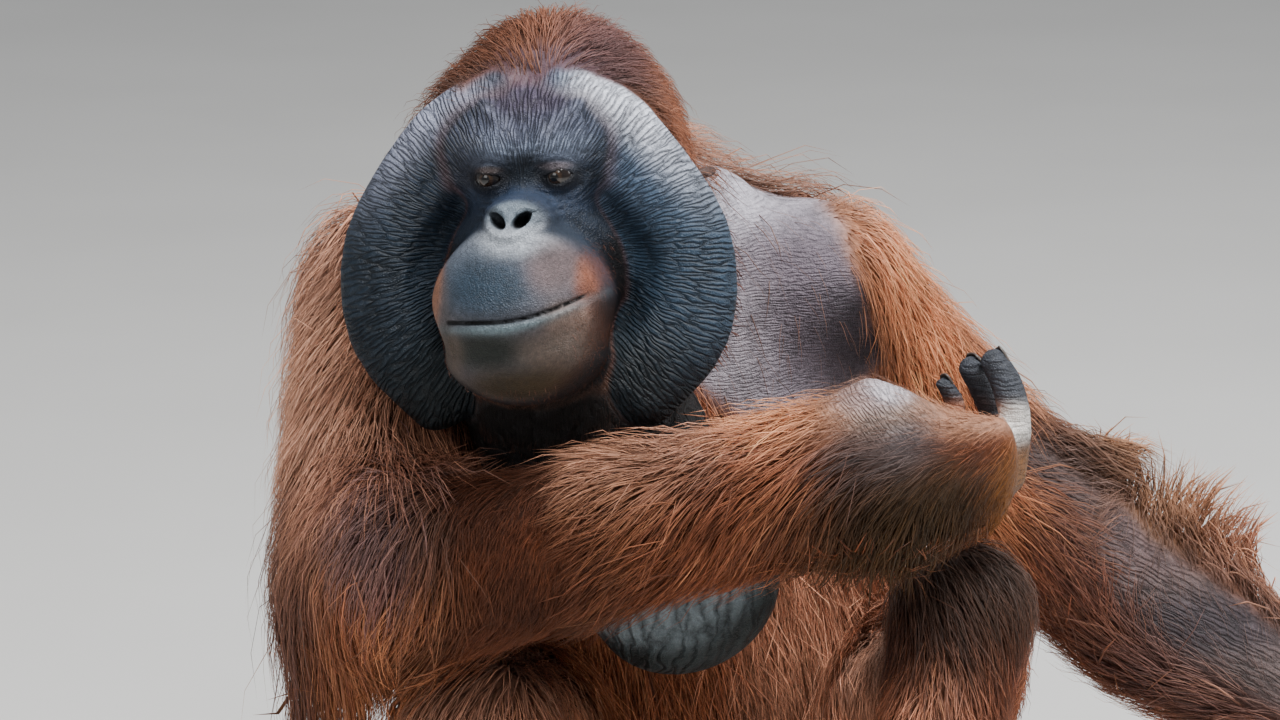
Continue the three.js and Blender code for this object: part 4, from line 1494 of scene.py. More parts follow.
@dataclass
class Skin:
    """The one skin: grid, mesh, finer parts, colours and the piece itself."""

    body: Body
    shift: Array
    step: float = 7.0

    def shape(self) -> Mesh:
        """Mesh of the skin, finer on hands, feet and pads, finest round the eyes.

        Returns:
            The mesh in plan millimetres.
        """
        self.lattice = Lattice(self.body, self.step)
        mesh = settle(surface_net(self.lattice), self.body, 1)
        head = self.body.head
        mesh = self.finer(mesh, self.wants_detail(mesh.points), 2)
        a, b, c = head.local(mesh.points).T
        mesh = self.finer(mesh, (np.abs(a) < 80) & (b > -152) & (b < 104) & (c > 34), 2)
        a, b, c = head.local(mesh.points).T
        eyes = (np.abs(np.abs(a) - 26) < 21) & (np.abs(b - 30) < 17) & (c > 55)
        nose = (np.abs(a) < 25) & (np.abs(b) < 17) & (c > 95)
        lips = (np.abs(a) < 58) & (np.abs(b - head.mouth(a)) < 9) & (c > 80)
        mesh = self.finer(mesh, eyes | nose | lips, 3)
        LOG.info("skin volume %.1f litres", self.volume(mesh) / 1e6)
        return mesh

    def volume(self, mesh: Mesh) -> float:
        """Volume of a closed mesh: the sum of its faces' triple products over six."""
        a, b, c = (mesh.points[mesh.faces[:, k]] for k in range(3))
        return float((a * np.cross(b, c)).sum() / 6)

    def wants_detail(self, points: Array) -> Array:
        """Points on the face, pads, ears, hands and feet."""
        body = self.body
        a, b, c = body.head.local(points).T
        chosen = (np.hypot(a, b + 30) < 170) & (c > -2) & (np.abs(a) < 165)
        for limb in (body.palm_right, body.palm_left, body.sole_left, body.sole_right):
            chosen |= limb.near(points, 0)
        for limb in body.digit_limbs + body.head.ears:
            chosen |= limb.near(points, 4)
        return chosen

    def finer(self, mesh: Mesh, chosen: Array, rounds: int) -> Mesh:
        """Mesh with the chosen part split, evened out along the surface and settled."""
        fine = mesh.refined(chosen)
        active = np.zeros(len(fine.points), bool)
        active[: len(chosen)] = chosen
        active[len(chosen):] = True
        for _ in range(rounds):
            edges, _faces = fine.edges()
            most = len(fine.points)
            count = np.bincount(edges.ravel(), minlength=most)
            total = sum(summed(edges[:, k], fine.points[edges[:, 1 - k]], most) for k in (0, 1))
            mean = total / np.maximum(count, 1)[:, None]
            moved = fine.points + 0.5 * (mean - fine.points)
            part = Mesh(moved[active], np.zeros((0, 3), int))
            points = fine.points.copy()
            points[active] = settle(part, self.body, 2).points
            fine = Mesh(points, fine.faces)
        return fine

    def grain(self) -> Array:
        """Place in the ridge pattern across and along the ridges, and the ridges' share.

        Ridges fan out from the pads' middle on the pads and forehead, run up and down the
        pouch, lie level on the chest and go along the inner left forearm.

        Returns:
            Three values for each skin point.
        """
        bare, head = self.bare, self.body.head
        x, y, z = self.mesh.points.T
        a, b, _ = head.local(self.mesh.points).T
        outer = 1 - ease(1.35, 1.0, np.hypot(a / 66.0, (b + 66.0) / 76.0))
        eyes = np.hypot((np.abs(a - head.eye_middle) - 26) / 21, (b - head.eye_up) / 15)
        low_bridge = 1 - bump(a, 0, 40) * ease(20, -5, b)
        share = np.maximum(bare["pad"], bare["face"] * outer * ease(0.8, 1.5, eyes) * low_bridge)
        fan = np.stack([bare["polar_turn"] * 34.0, bare["polar_reach"] / 20.0, share], axis=1)
        out = np.where((share > 0.01)[:, None], fan, 0.0)
        kinds = (
            ("pouch", np.arctan2(x + 80, -120 - y) * 13.0, z / 50.0, 1.2),
            ("chest", z / 2.8, x / 16.0, 0.36),
            ("inner", (z + 0.55 * x) / 4.5, x / 30.0, 0.8),
            ("wrist", (x + z) / 4.2, (x - z) / 13.0, 0.7),
            ("palm", np.where(z > 300, z, x + y) / 4.4, y / 12.0, 0.42),
        )
        for kind, across, along, most in kinds:
            rows = (bare[kind] > 0.01) & (share < 0.01)
            out[rows] = np.stack([across, along, most * bare[kind]], axis=1)[rows]
        return out

    def build(self) -> Piece:
        """Makes the skin piece with its colours and grain.

        Returns:
            The skin object.
        """
        self.mesh = self.shape()
        points = self.mesh.points
        self.normals = self.mesh.normals()
        self.field = SkinField(self.body)
        self.coat = self.field.blend(points)
        self.bare = self.field.bare(points, self.normals)
        self.naked = np.clip(sum(self.bare[kind] for kind in NAKED_KINDS), 0, 1)
        colours = self.field.colour(points, self.bare, self.coat, self.normals[:, 2])
        piece = new_piece("skin", (points + self.shift) * MM, self.mesh.faces, HideFinish().material())
        set_layer(piece, COLOUR_LAYER, "FLOAT_COLOR", with_alpha(colours))
        set_layer(piece, GRAIN_LAYER, "FLOAT_VECTOR", self.grain())
        set_layer(piece, PORE_LAYER, "FLOAT", self.naked)
        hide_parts(*[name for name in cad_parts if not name.startswith("eye_")])
        return piece


@dataclass(frozen=True)
class Layer:
    """One depth of the coat: how many locks, how fine, how high they lie and how pale."""

    count: int
    stations: int
    half_width: float
    low: float
    high: float
    ruffle: float
    draw: float
    tone: float


UNDER = Layer(count=22000, stations=4, half_width=0.88, low=0.25, high=0.7, ruffle=0.14, draw=0.15, tone=0.8)
OVER = Layer(count=69000, stations=4, half_width=0.38, low=0.5, high=1.05, ruffle=0.2, draw=0.4, tone=1.0)


@dataclass
class Coat:
    """Coat of hair locks: closed three-sided spikes combed over the skin."""

    skin: Skin
    layer: Layer
    name: str
    seed: int = 5
    limit: int = 12000
    clump: float = 8.0
    stray_share: float = 0.07
    root_sink: float = 1.5
    substeps: int = 2
    sway: float = 0.035
    floor_clearance: float = 1.6
    bake_patch: float = 0.003

    def roots(self, rng: np.random.Generator) -> tuple[Array, Array, Array]:
        """Random root places on the skin's triangles, as dense as the coat there.

        Args:
            rng: Source of chance.

        Returns:
            Face numbers, and two corner weights for each root.
        """
        skin, mesh, count = self.skin, self.skin.mesh, self.layer.count
        density = skin.field.density(skin.coat, skin.bare)
        front = ease(0.5, -0.4, skin.normals[:, 1])
        high = ease(60, 200, mesh.points[:, 2])
        skull = skin.body.head.world([0, 60, -40])
        on_head = ease(200, 150, np.linalg.norm(mesh.points - skull, axis=1))
        density = density * (0.45 + 0.55 * front) * (0.55 + 0.45 * high) * (1 + 0.5 * on_head)
        density = density * (1 + 1.6 * np.maximum(skin.coat["fringe"], skin.coat["beard"]))
        density = density * ease(0.5, 4.0, mesh.points[:, 2])
        a, b, c = (mesh.points[mesh.faces[:, k]] for k in range(3))
        area = np.linalg.norm(np.cross(b - a, c - a), axis=1) / 2
        weight = area * density[mesh.faces].mean(1)
        even = (np.arange(count) + rng.random(count)) / count
        order = self.band_order(mesh)
        running = np.cumsum(weight[order])
        face = order[np.minimum(np.searchsorted(running, even * running[-1]), len(order) - 1)]
        r = np.sqrt(rng.random(count))
        s = rng.random(count)
        return face, r * (1 - s), r * s

    def band_order(self, mesh: Mesh) -> Array:
        """Order of the faces that keeps neighbours near each other, by interleaved cell bits."""
        middle = mesh.points[mesh.faces].mean(1)
        cell = ((middle - middle.min(0)) / 12.0).astype(np.int64)
        key = np.zeros(len(cell), np.int64)
        for bit in range(8):
            for axis in range(3):
                key |= ((cell[:, axis] >> bit) & 1) << (3 * bit + axis)
        return np.argsort(key, kind="stable")

    def comb(self) -> Shares:
        """Works out every lock's path, width and colours.

        Each lock starts at its root, goes along the lie of the coat pressed flat to the
        skin, rises to the coat's depth, droops a little, waves, and is drawn towards the
        other locks of its clump.

        Returns:
            Arrays named path, up, root, normal, length, naked, clump and for the colours.
        """
        rng = np.random.default_rng(self.seed)
        mesh, coat = self.skin.mesh, self.skin.coat
        face, u, v = self.roots(rng)
        layer, stations = self.layer, self.layer.stations
        corners = mesh.faces[face]
        weights = np.stack([1 - u - v, u, v], axis=1)[:, :, None]

        def at_root(values: Array) -> Array:
            """Values of the skin's points at the roots."""
            values = values if values.ndim > 1 else values[:, None]
            return (values[corners] * weights).sum(1)

        root = at_root(mesh.points)
        normal = unit(at_root(self.skin.normals))
        lie = at_root(coat["lie"])
        length = at_root(coat["length"])[:, 0]
        depth = at_root(coat["depth"])[:, 0]
        count = len(root)
        naked = at_root(self.skin.naked)[:, 0]
        length = length * (1 - 0.55 * naked) * rng.uniform(0.6, 1.25, count)
        length = length * (1 + 0.2 * value_noise(root, 60, 21))
        rise = depth * rng.uniform(layer.low, layer.high, count) * (1 - 0.7 * naked)
        turn = value_noise(root, 55, 31) * 0.4 + value_noise(root, 20, 32) * 0.3
        turn = turn + rng.normal(0, layer.ruffle, count)
        hang = at_root(coat["free"])[:, 0]
        outward = (lie * normal).sum(1, keepdims=True)
        lie = unit(lie - normal * (outward - hang[:, None] * np.maximum(outward, 0)))
        stray = rng.random(count) < self.stray_share
        rise = rise * (1 + 0.6 * stray)
        turn = turn + stray * rng.normal(0, 0.5, count)
        lie = unit(lie * np.cos(turn)[:, None] + np.cross(normal, lie) * np.sin(turn)[:, None])
        path = np.zeros((stations, count, 3))
        ups = np.zeros((stations, count, 3))
        path[0], ups[0] = root - normal * self.root_sink, normal
        place = root.copy()
        for k in range(1, stations):
            share = k / (stations - 1)
            target = rise * (1 - (1 - share) ** 2)
            for _ in range(self.substeps):
                place = place + lie * (length / (stations - 1) / self.substeps)[:, None]
                gap, slope = self.skin.lattice.read(place)
                error = target - gap
                pull = np.where(error > 0, 0.9, 0.35 * (1 - hang))
                place = place + slope * (error * pull)[:, None]
                flat = lie - slope * (lie * slope).sum(1, keepdims=True) * (1 - hang)[:, None]
                lie = unit(flat + DOWN * (0.08 + 0.12 * hang)[:, None])
            path[k], ups[k] = place, slope
        path, clump = self.clumped(root, path, rng)
        wave = rng.uniform(0, 2 * np.pi, clump.max() + 1)[clump]
        side = unit(np.cross(lie, ups[-1]))
        for k in range(1, stations):
            share = k / (stations - 1)
            sway = np.sin(wave + share * 5.2) - np.sin(wave)
            path[k] += side * (sway * share * length * self.sway)[:, None]
            path[k][:, 2] += np.maximum(self.floor_clearance - path[k][:, 2], 0)
        return {
            "path": path,
            "up": ups,
            "root": root,
            "normal": normal,
            "length": length,
            "naked": naked,
            "clump": clump,
            **{name: at_root(coat[name])[:, 0] for name in ("warmth", "shade", "beard", "fringe")},
        }

    def clumped(self, root: Array, path: Array, rng: np.random.Generator) -> tuple[Array, Array]:
        """Paths drawn together into pointed clumps, and each lock's clump number.

        A clump is the locks whose roots share a cell of a warped lattice. Towards the tip
        each path moves a growing share of the way to its clump's mean path.

        Args:
            root: Root places.
            path: Stations by locks by three.
            rng: Source of chance.

        Returns:
            The moved paths and the clump numbers.
        """
        warp = np.stack([value_noise(root, 20, 41 + k) for k in range(3)], axis=1) * 8
        stations = self.layer.stations
        cell = np.floor((root + warp) / self.clump).astype(np.int64)
        key = (cell[:, 0] * 4096 + cell[:, 1]) * 4096 + cell[:, 2]
        _, number = np.unique(key, return_inverse=True)
        count = np.bincount(number)
        strength = rng.uniform(0.1, 1.0, len(count))[number] * self.layer.draw
        out = path.copy()
        for k in range(1, stations):
            mean = summed(number, path[k], len(count)) / count[:, None]
            share = (strength * (k / (stations - 1)) ** 1.3)[:, None]
            out[k] = path[k] + (mean[number] - path[k]) * share
        return out, number

    def colours(self, locks: Shares, rng: np.random.Generator) -> tuple[Array, Array]:
        """Root and tip colours of the locks.

        Args:
            locks: What comb gives.
            rng: Source of chance.

        Returns:
            Linear colours at the root and at the tip.
        """
        root = locks["root"]
        count = len(root)
        warm = locks["warmth"] + 0.3 * value_noise(root, 70, 51) + 0.2 * value_noise(root, 16, 52)
        warm = np.clip(warm + rng.normal(0, 0.16, count), 0, 1)
        tip = self.skin.field.fur(root, warm, locks["shade"], locks["normal"][:, 2]) * 1.22
        tip = mixed(tip, 0.7 * locks["naked"], rgb(132, 112, 108))
        for kind, colour in (("fringe", rgb(120, 64, 38)), ("beard", rgb(24, 16, 13))):
            tip = mixed(tip, locks[kind], colour)
        patch = 1 + 0.3 * value_noise(root, 48, 53) + 0.2 * value_noise(root, 15, 54)
        clump = rng.uniform(0.8, 1.2, locks["clump"].max() + 1)[locks["clump"]]
        tip = tip * (patch * clump * rng.uniform(0.72, 1.28, count) * self.layer.tone)[:, None]
        return tip * 0.55, tip

    def faces(self) -> Array:
        """Faces of one lock: three sides of two triangles per ring, a tip and a root cap."""
        rings = self.layer.stations - 1
        k = np.arange(rings - 1)[:, None] * 3
        j = np.arange(3)[None, :]
        a, b = k + j, k + (j + 1) % 3
        quads = np.stack([np.stack([a, b, b + 3], -1), np.stack([a, b + 3, a + 3], -1)], axis=2)
        last, turn = (rings - 1) * 3, np.arange(3)
        tip = np.stack([last + turn, last + (turn + 1) % 3, np.full(3, rings * 3)], axis=1)
        return np.concatenate([quads.reshape(-1, 3), tip, [[2, 1, 0]]])

    def mesh(self, locks: Shares, chosen: Array, low: Array, high: Array) -> tuple[Array, ...]:
        """Points, faces, colours and bake places of the chosen locks.

        The section is a low triangle: two edges to the sides and a ridge outwards. Its half
        width swells from the root and runs out to the tip.

        Args:
            locks: What comb gives.
            chosen: Numbers of the locks.
            low: Root colours.
            high: Tip colours.

        Returns:
            Points, faces, colours per point and bake map places per point.
        """
        path = locks["path"][:, chosen]
        up = locks["up"][:, chosen]
        count = len(chosen)
        heading = np.gradient(path, axis=0)
        side = unit(np.cross(unit(heading), up))
        rise = unit(np.cross(side, unit(heading)))
        rings = self.layer.stations - 1
        shares = np.arange(rings) / rings
        profile = np.interp(shares, [0, 0.25, 0.6, 1.0], [0.75, 1.0, 0.8, 0.3])
        width = locks["width"][chosen][None, :, None] * profile[:, None, None]
        middle = path[:rings]
        left = middle - side[:rings] * width
        right = middle + side[:rings] * width
        ridge = middle + rise[:rings] * width * 0.75
        points = np.stack([right, ridge, left], axis=2)
        points = points.transpose(1, 0, 2, 3).reshape(count, rings * 3, 3)
        points = np.concatenate([points, path[-1][:, None]], axis=1)
        per = rings * 3 + 1
        along = np.append(np.repeat(shares, 3), 1.0)
        blend = (along**0.8)[None, :, None]
        tint = low[chosen][:, None] * (1 - blend) + high[chosen][:, None] * blend
        across = np.append(np.tile([1.0, 0.5, 0.0], rings), 0.5)
        patch = (np.stack([across, along], axis=1)[None] - 0.5) * self.bake_patch
        bake = locks["bake"][chosen][:, None] + patch
        faces = self.faces()[None] + np.arange(count)[:, None, None] * per
        return points.reshape(-1, 3), faces.reshape(-1, 3), tint.reshape(-1, 3), bake.reshape(-1, 2)

    def unwrap(self, root: Array) -> Array:
        """Places of roots on the skin's unwrap: a strip per limb, round it and along it.

        Args:
            root: Root places.

        Returns:
            Two values from 0 to 1 for each.
        """
        body = self.skin.body
        limbs = [limb for name, group in body.groups.items() if name != "pouch" for limb in group[:3]]
        skull = body.head.world([[0, 150, -10], [0, -150, -10]])
        limbs.append(Limb(skull, [90, 90], [90, 90], side=(1, 0, 0)))
        best = np.full(len(root), np.inf)
        out = np.zeros((len(root), 2))
        rows, margin = 4, 0.06
        for i, limb in enumerate(limbs):
            gap = limb.distance(root)
            angle, along, _ = limb.coordinates(root)
            u = (i % rows + margin + (1 - 2 * margin) * (angle / (2 * np.pi) + 0.5)) / rows
            v = (i // rows + margin + (1 - 2 * margin) * np.clip(along / limb.lengths.sum(), 0, 1)) / rows
            closer = gap < best
            out[closer] = np.stack([u, v], axis=1)[closer]
            best = np.minimum(best, gap)
        return out

    def build(self) -> list[Piece]:
        """Makes the coat's pieces, each of neighbouring locks.

        Returns:
            The coat objects.
        """
        rng = np.random.default_rng(self.seed + 1)
        locks = self.comb()
        low, high = self.colours(locks, rng)
        count = len(locks["root"])
        coarse = ease(-0.2, 0.6, locks["normal"][:, 1])
        locks["width"] = self.layer.half_width * (1 + 0.6 * coarse) * rng.uniform(0.7, 1.3, count)
        locks["width"] *= np.clip(locks["length"] / 45, 0.4, 1.1) * (1 - 0.45 * locks["naked"])
        locks["bake"] = self.unwrap(locks["root"])
        material = HairFinish().material()
        pieces = []
        for number, chosen in enumerate(np.array_split(np.arange(count), math.ceil(count / self.limit))):
            points, faces, tint, bake = self.mesh(locks, chosen, low, high)
            piece = new_piece(f"{self.name}_{number + 1}", (points + self.skin.shift) * MM, faces, material)
            set_layer(piece, COLOUR_LAYER, "FLOAT_COLOR", with_alpha(tint))
            layer = piece.data.uv_layers.new(name=BAKE_MAP)
            layer.data.foreach_set("uv", np.ascontiguousarray(bake[faces.ravel()], np.float32).ravel())
            pieces.append(piece)
        return pieces


COAT_TONES_AND_PAINTED_LIGHT = (
    Spot((-140, -160, 710), (120, 120, 60), (120, 68, 44), 0.85),
    # Painted sheen: purple-grey reflection of the sky on the crown's hair.
    Spot((-110, -230, 700), (26, 60, 30), (104, 76, 82), 0.7),
    Spot((-20, -140, 640), (50, 110, 60), (176, 108, 74), 0.7),
    # Painted sunlight and sheen: pale hair on the outer right upper arm.
    Spot((-330, -160, 470), (60, 110, 70), (210, 160, 134), 0.7),
    # Painted sheen: dark purple-grey patch on the right upper arm's hair.
    Spot((-330, -250, 345), (50, 70, 46), (72, 54, 52), 0.8),
    Spot((-250, -300, 420), (50, 60, 22), (112, 52, 30), 0.7),
    # Painted sheen: purple-grey patch on the right forearm's hair.
    Spot((-250, -320, 372), (26, 50, 26), (100, 84, 96), 0.7),
    Spot((-170, -350, 372), (50, 60, 34), (112, 72, 54), 0.5),
    Spot((-138, -370, 362), (18, 50, 22), (206, 124, 78), 0.6),
    # Ochre on the long hair hanging from the right arm: orange hair with painted backlight.
    Spot((-310, -250, 250), (60, 90, 34), (150, 96, 50), 0.7),
    # Painted shade: dark hair in the crook of the right elbow.
    Spot((-186, -340, 395), (40, 60, 60), (54, 28, 16), 0.75),
    Spot((-90, -385, 372), (60, 50, 40), (92, 52, 32), 0.75),
    # Painted highlight: bright band along the right forearm's top, lit from above.
    Spot((0, -330, 466), (130, 60, 16), (234, 158, 108), 0.85),
    Spot((50, -390, 400), (60, 50, 26), (104, 64, 46), 0.6),
    # Painted shade: near-black along the right forearm's lower side.
    Spot((-60, -360, 296), (160, 60, 30), (42, 22, 7), 0.85),
    # Olive-brown hair under the hand, darkened as painted shade.
    Spot((132, -350, 392), (60, 40, 34), (70, 52, 26), 0.9),
    # Orange edge of the hand: orange hair with a painted rim light.
    Spot((204, -320, 392), (14, 40, 36), (162, 102, 42), 0.85),
    # Painted highlight: pale top of the hand, lit from above.
    Spot((165, -322, 452), (34, 34, 9), (206, 146, 112), 0.9),
    Spot((110, -350, 440), (30, 40, 18), (96, 92, 94), 0.7),
    # Bright orange on the left shoulder: orange hair with painted sunlight on its top.
    Spot((130, -60, 500), (44, 70, 60), (240, 162, 116), 0.85),
    # Painted light: the belly's hair made very pale to brighten it where arms and knee shade it.
    Spot((66, -130, 262), (60, 60, 90), (250, 180, 144), 0.95),
    # Painted shadow of the forearm on the left knee's top.
    Spot((160, -262, 310), (52, 56, 44), (38, 24, 19), 0.85),
    Spot((196, -290, 232), (26, 60, 44), (128, 76, 56), 0.6),
    # Painted shadow: near-black on the left thigh's top, in the shade of the arms and knee.
    Spot((130, -120, 260), (40, 80, 60), (20, 12, 9), 0.85),
    Spot((292, 110, 330), (60, 70, 26), (214, 158, 116), 0.9),
    Spot((300, 50, 270), (80, 60, 60), (66, 44, 42), 0.75),
    Spot((410, 30, 150), (110, 60, 60), (92, 72, 70), 0.8),
    Spot((236, 60, 340), (36, 70, 44), (84, 60, 56), 0.75),
    Spot((370, 130, 272), (90, 60, 30), (206, 150, 112), 0.8),
)


@dataclass(frozen=True)
class EyeFinish:
    """Wet eye: dark pupil, brown iris with darker rim, brown white, by the gaze attribute."""

    name: str = "wet_eye"

    def material(self) -> Finish:
        """Builds the node tree: a colour ramp over the angle from the gaze, under a wet coat."""
        tree = Tree(self.name, 0.12)
        tree.shader.inputs["Coat Weight"].default_value = 0.5
        tree.shader.inputs["Coat Roughness"].default_value = 0.04
        gaze = tree.attribute(GRAIN_LAYER).outputs["Vector"]
        stops = (
            (0.0, (4, 4, 4)),
            (0.19, (7, 6, 5)),
            (0.23, (54, 36, 22)),
            (0.38, (40, 27, 17)),
            (0.44, (18, 12, 9)),
            (0.5, (26, 19, 16)),
            (1.0, (34, 25, 21)),
        )
        angle = tree.add("SeparateXYZ", {}, gaze).outputs["X"]
        colour = tree.ramp(angle, [(place, tuple(rgb(*values))) for place, values in stops])
        rays = tree.noise(9.0, 2.0, gaze).outputs["Fac"]
        tree.paint(colour, tree.maths("MULTIPLY_ADD", rays, 1.2, 0.4))
        return tree.material


@dataclass
class Eyeball:
    """One eyeball with a bulging cornea, looking out of the head."""

    head: Head
    sign: int
    shift: Array
    rings: int = 64
    around: int = 72
    cornea: float = 0.9
    gaze: Place = (-0.12, -0.1, 1.0)

    def build(self, material: Finish) -> Piece:
        """Makes the eyeball: a ball with a raised bell round the gaze.

        Args:
            material: Its finish.

        Returns:
            The eyeball object.
        """
        theta = np.linspace(0, np.pi, self.rings + 1)[1:-1]
        phi = np.arange(self.around) * 2 * np.pi / self.around
        t, p = np.meshgrid(theta, phi, indexing="ij")
        radius = self.head.eye_radius + self.cornea * np.exp(-((t / 0.42) ** 4))
        ball = np.stack([np.sin(t) * np.cos(p), np.sin(t) * np.sin(p), np.cos(t)], axis=-1)
        ball = ball * radius[..., None]
        top = np.array([0, 0, self.head.eye_radius + self.cornea])
        points = np.concatenate([[top], ball.reshape(-1, 3), [[0, 0, -self.head.eye_radius]]])
        forward = unit(np.array(self.gaze))
        right = unit(np.cross([0, 1.0, 0], forward))
        local = points @ np.stack([right, np.cross(forward, right), forward])
        world = self.head.world(local + self.head.eye_place(self.sign))
        i = np.arange(len(theta) - 1)[:, None] * self.around
        j = np.arange(self.around)[None]
        a, b = 1 + i + j, 1 + i + (j + 1) % self.around
        c, d = a + self.around, b + self.around
        sides = np.concatenate([np.stack([a, c, d], -1), np.stack([a, d, b], -1)])
        j = np.arange(self.around)
        after = (j + 1) % self.around
        last = 1 + (len(theta) - 1) * self.around
        bottom = 0 * j + len(points) - 1
        caps = [np.stack([0 * j, 1 + j, 1 + after], 1), np.stack([bottom, last + after, last + j], 1)]
        faces = np.concatenate([sides.reshape(-1, 3), *caps])
        side = {1: "left", -1: "right"}[self.sign]
        piece = new_piece(f"eyeball_{side}", (world + self.shift) * MM, faces, material)
        angle = np.concatenate([[0.0], t.ravel(), [np.pi]])
        turn = np.concatenate([[0.0], p.ravel(), [0.0]])
        grain = np.stack([angle / 1.3, np.cos(turn) * 2, np.sin(turn) * 2], axis=1)
        set_layer(piece, GRAIN_LAYER, "FLOAT_VECTOR", grain)
        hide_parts(f"eye_{side}")
        return piece


@dataclass(frozen=True)
class NailFinish:
    """Horn of the nails: dark brown-grey with fine growth lines."""

    name: str = "nail_horn"

    def material(self) -> Finish:
        """Builds the node tree: a colour ramp over noise, with bump."""
        tree = Tree(self.name, 0.32)
        noise = tree.noise(300.0, 2.0).outputs["Fac"]
        tree.paint(tree.ramp(noise, [(0.0, tuple(rgb(34, 30, 30))), (1.0, tuple(rgb(104, 92, 84)))]))
        tree.emboss(noise, 0.3, 0.0005)
        return tree.material


@dataclass
class Nails:
    """Nails of one hand or foot: curved plates with closed edges near the digits' tips."""

    name: str
    digits: Sequence[Digit]
    shift: Array
    along: int = 9
    across: int = 9
    thickness: float = 1.6

    def plate(self, digit: Digit) -> Array:
        """Grid of points on the outside of one nail, over the last joint of a digit.

        The plate is part of a barrel about the digit's axis, turned to the nail's side.

        Args:
            digit: The digit.

        Returns:
            Points, along by across by three.
        """
        path = np.asarray(digit.path, float)
        tip = path[-1]
        heading = unit(path[-1] - path[-2])
        up = np.asarray(digit.nail_up, float)
        up = unit(up - heading * (up @ heading))
        side = np.cross(heading, up)
        size = digit.radius * 0.84
        s = np.linspace(-0.55, 0.75, self.along)[:, None, None] * size
        angle = np.linspace(-0.85, 0.85, self.across)[None, :, None]
        radius = size * (1.02 - 0.28 * np.clip(s / size, 0, 1) ** 2)
        round_end = np.sqrt(np.clip(1 - np.clip((s / size - 0.2) / 0.6, 0, 1) ** 2 * 0.6, 0, 1))
        angle = angle * round_end
        return tip + heading * s + (up * np.cos(angle) + side * np.sin(angle)) * radius

    def build(self, material: Finish) -> Piece:
        """Makes the nails as one piece, each a plate with thickness.

        Args:
            material: Its finish.

        Returns:
            The nails object.
        """
        points, faces, start = [], [], 0
        for digit in self.digits:
            outer = self.plate(digit)
            centre = outer.reshape(-1, 3).mean(0)
            inward = unit(np.asarray(digit.path[-1]) - centre)
            inner = outer + inward * self.thickness
            under = self.along * self.across
            grid = np.arange(under).reshape(self.along, self.across)
            a, b, c, d = grid[:-1, :-1], grid[1:, :-1], grid[1:, 1:], grid[:-1, 1:]
            front = np.concatenate([np.stack([a, b, c], -1), np.stack([a, c, d], -1)]).reshape(-1, 3)
            back = front[:, ::-1] + under
            rim = np.concatenate([grid[0, :-1], grid[:-1, -1], grid[-1, :0:-1], grid[:0:-1, 0]])
            after = np.roll(rim, -1)
            far, low = after + under, rim + under
            wall = np.concatenate([np.stack([rim, after, far], 1), np.stack([rim, far, low], 1)])
            local = np.concatenate([outer.reshape(-1, 3), inner.reshape(-1, 3)])
            piece_faces = np.concatenate([front, back, wall])
            p, q, r = (local[piece_faces[:, k]] - centre for k in range(3))
            if (p * np.cross(q, r)).sum() < 0:
                piece_faces = piece_faces[:, ::-1]
            points.append(local)
            faces.append(piece_faces + start)
            start += len(local)
        place = (np.concatenate(points) + self.shift) * MM
        piece = new_piece(self.name, place, np.concatenate(faces), material)
        return piece


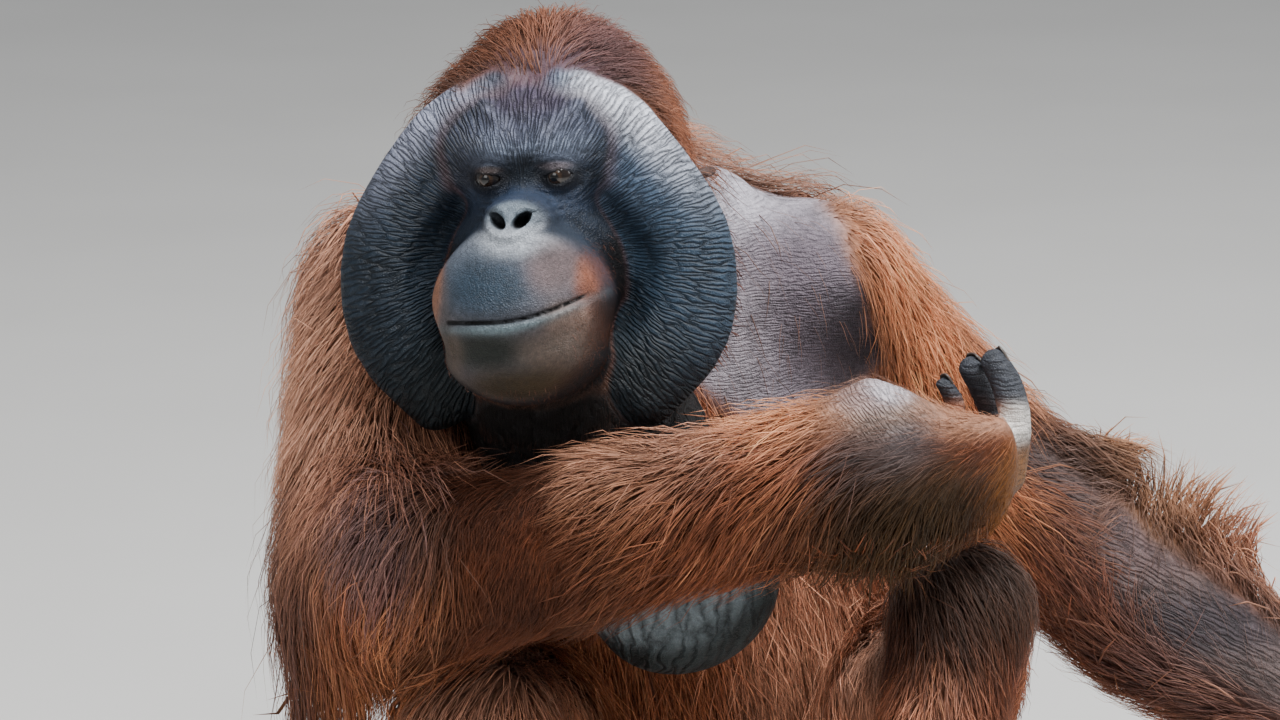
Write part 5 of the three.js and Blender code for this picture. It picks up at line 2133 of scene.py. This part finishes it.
@dataclass
class Studio:
    """Pale floor, soft lights and the camera at the photograph's angle."""

    aim: Place = (-0.2615, -0.0343, 0.48)
    distance: float = 5.0
    elevation: float = 13.0
    lens: float = 187.03
    floor_half: float = 9.0
    middle: Place = (-0.1, -0.05, 0.35)

    def floor(self) -> Piece:
        """Wide pale floor with faint mottling."""
        mesh = bpy.data.meshes.new("floor")
        half = self.floor_half
        corners = [(-half, -half, 0), (half, -half, 0), (half, half, 0), (-half, half, 0)]
        mesh.from_pydata(corners, [], [(0, 1, 2, 3)])
        tree = Tree("pale_floor", 0.8)
        mottling = tree.noise(3.0, 2.0).outputs["Fac"]
        tree.paint(tree.ramp(mottling, [(0.0, (0.62, 0.61, 0.59)), (1.0, (0.7, 0.69, 0.67))]))
        mesh.materials.append(tree.material)
        floor = bpy.data.objects.new("floor", mesh)
        bpy.context.scene.collection.objects.link(floor)
        return floor

    def light(self, name: str, place: Place, size: float, power: float, colour: Place) -> None:
        """Square soft light at a place, turned to the model."""
        data = bpy.data.lights.new(name, "AREA")
        data.size, data.energy, data.color = size, power, colour
        lamp = bpy.data.objects.new(name, data)
        lamp.location = place
        toward = Vector(self.middle) - Vector(place)
        lamp.rotation_euler = toward.to_track_quat("-Z", "Y").to_euler()
        bpy.context.scene.collection.objects.link(lamp)

    def build(self) -> None:
        """Puts up the floor, the lights, the pale surroundings and the camera."""
        self.floor()
        self.light("sky_light", (0.5, -0.5, 3.4), 2.2, 215.0, (1.0, 1.0, 1.0))
        self.light("front_light", (-2.4, -3.4, 2.6), 2.4, 50.0, (1.0, 0.98, 0.96))
        self.light("side_light", (3.0, 0.6, 2.2), 2.0, 60.0, (0.97, 0.98, 1.0))
        world = bpy.data.worlds.new("surroundings")
        world.use_nodes = True
        inputs = world.node_tree.nodes["Background"].inputs
        inputs["Color"].default_value = (0.78, 0.81, 0.85, 1)
        inputs["Strength"].default_value = 0.38
        bpy.context.scene.world = world
        data = bpy.data.cameras.new("camera")
        data.lens, data.sensor_width = self.lens, 36.0
        data.clip_end = 60.0
        camera = bpy.data.objects.new("camera", data)
        tilt = math.radians(self.elevation)
        aim = Vector(self.aim)
        camera.location = aim + Vector((0, -math.cos(tilt), math.sin(tilt))) * self.distance
        camera.rotation_euler = (aim - camera.location).to_track_quat("-Z", "Y").to_euler()
        bpy.context.scene.collection.objects.link(camera)
        bpy.context.scene.camera = camera


def plan_shift(head: Head) -> Array:
    """Millimetres from the animal's plan to the frame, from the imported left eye's centre."""
    low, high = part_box("eye_left")
    return np.array((low + high) / 2) / MM - head.eye(1)


def main() -> None:
    """Builds the skin, eyes, nails, coat and studio in order and reports each."""
    body = Body()
    shift = plan_shift(body.head)
    LOG.info("plan lies %s mm from the frame", np.round(shift, 2))
    skin = Skin(body, shift)
    skin.build()
    eye = EyeFinish().material()
    for sign in (-1, 1):
        Eyeball(body.head, sign, shift).build(eye)
    horn = NailFinish().material()
    for name, digits in body.digits.items():
        ending = name.replace("arm", "hand").replace("leg", "foot")
        Nails(f"nails_{ending}", digits, shift).build(horn)
    Coat(skin, UNDER, "undercoat", seed=5).build()
    Coat(skin, OVER, "topcoat", seed=9).build()
    Studio().build()


if __name__ == "__main__":
    logging.basicConfig(level=logging.INFO, format="%(message)s")
    main()
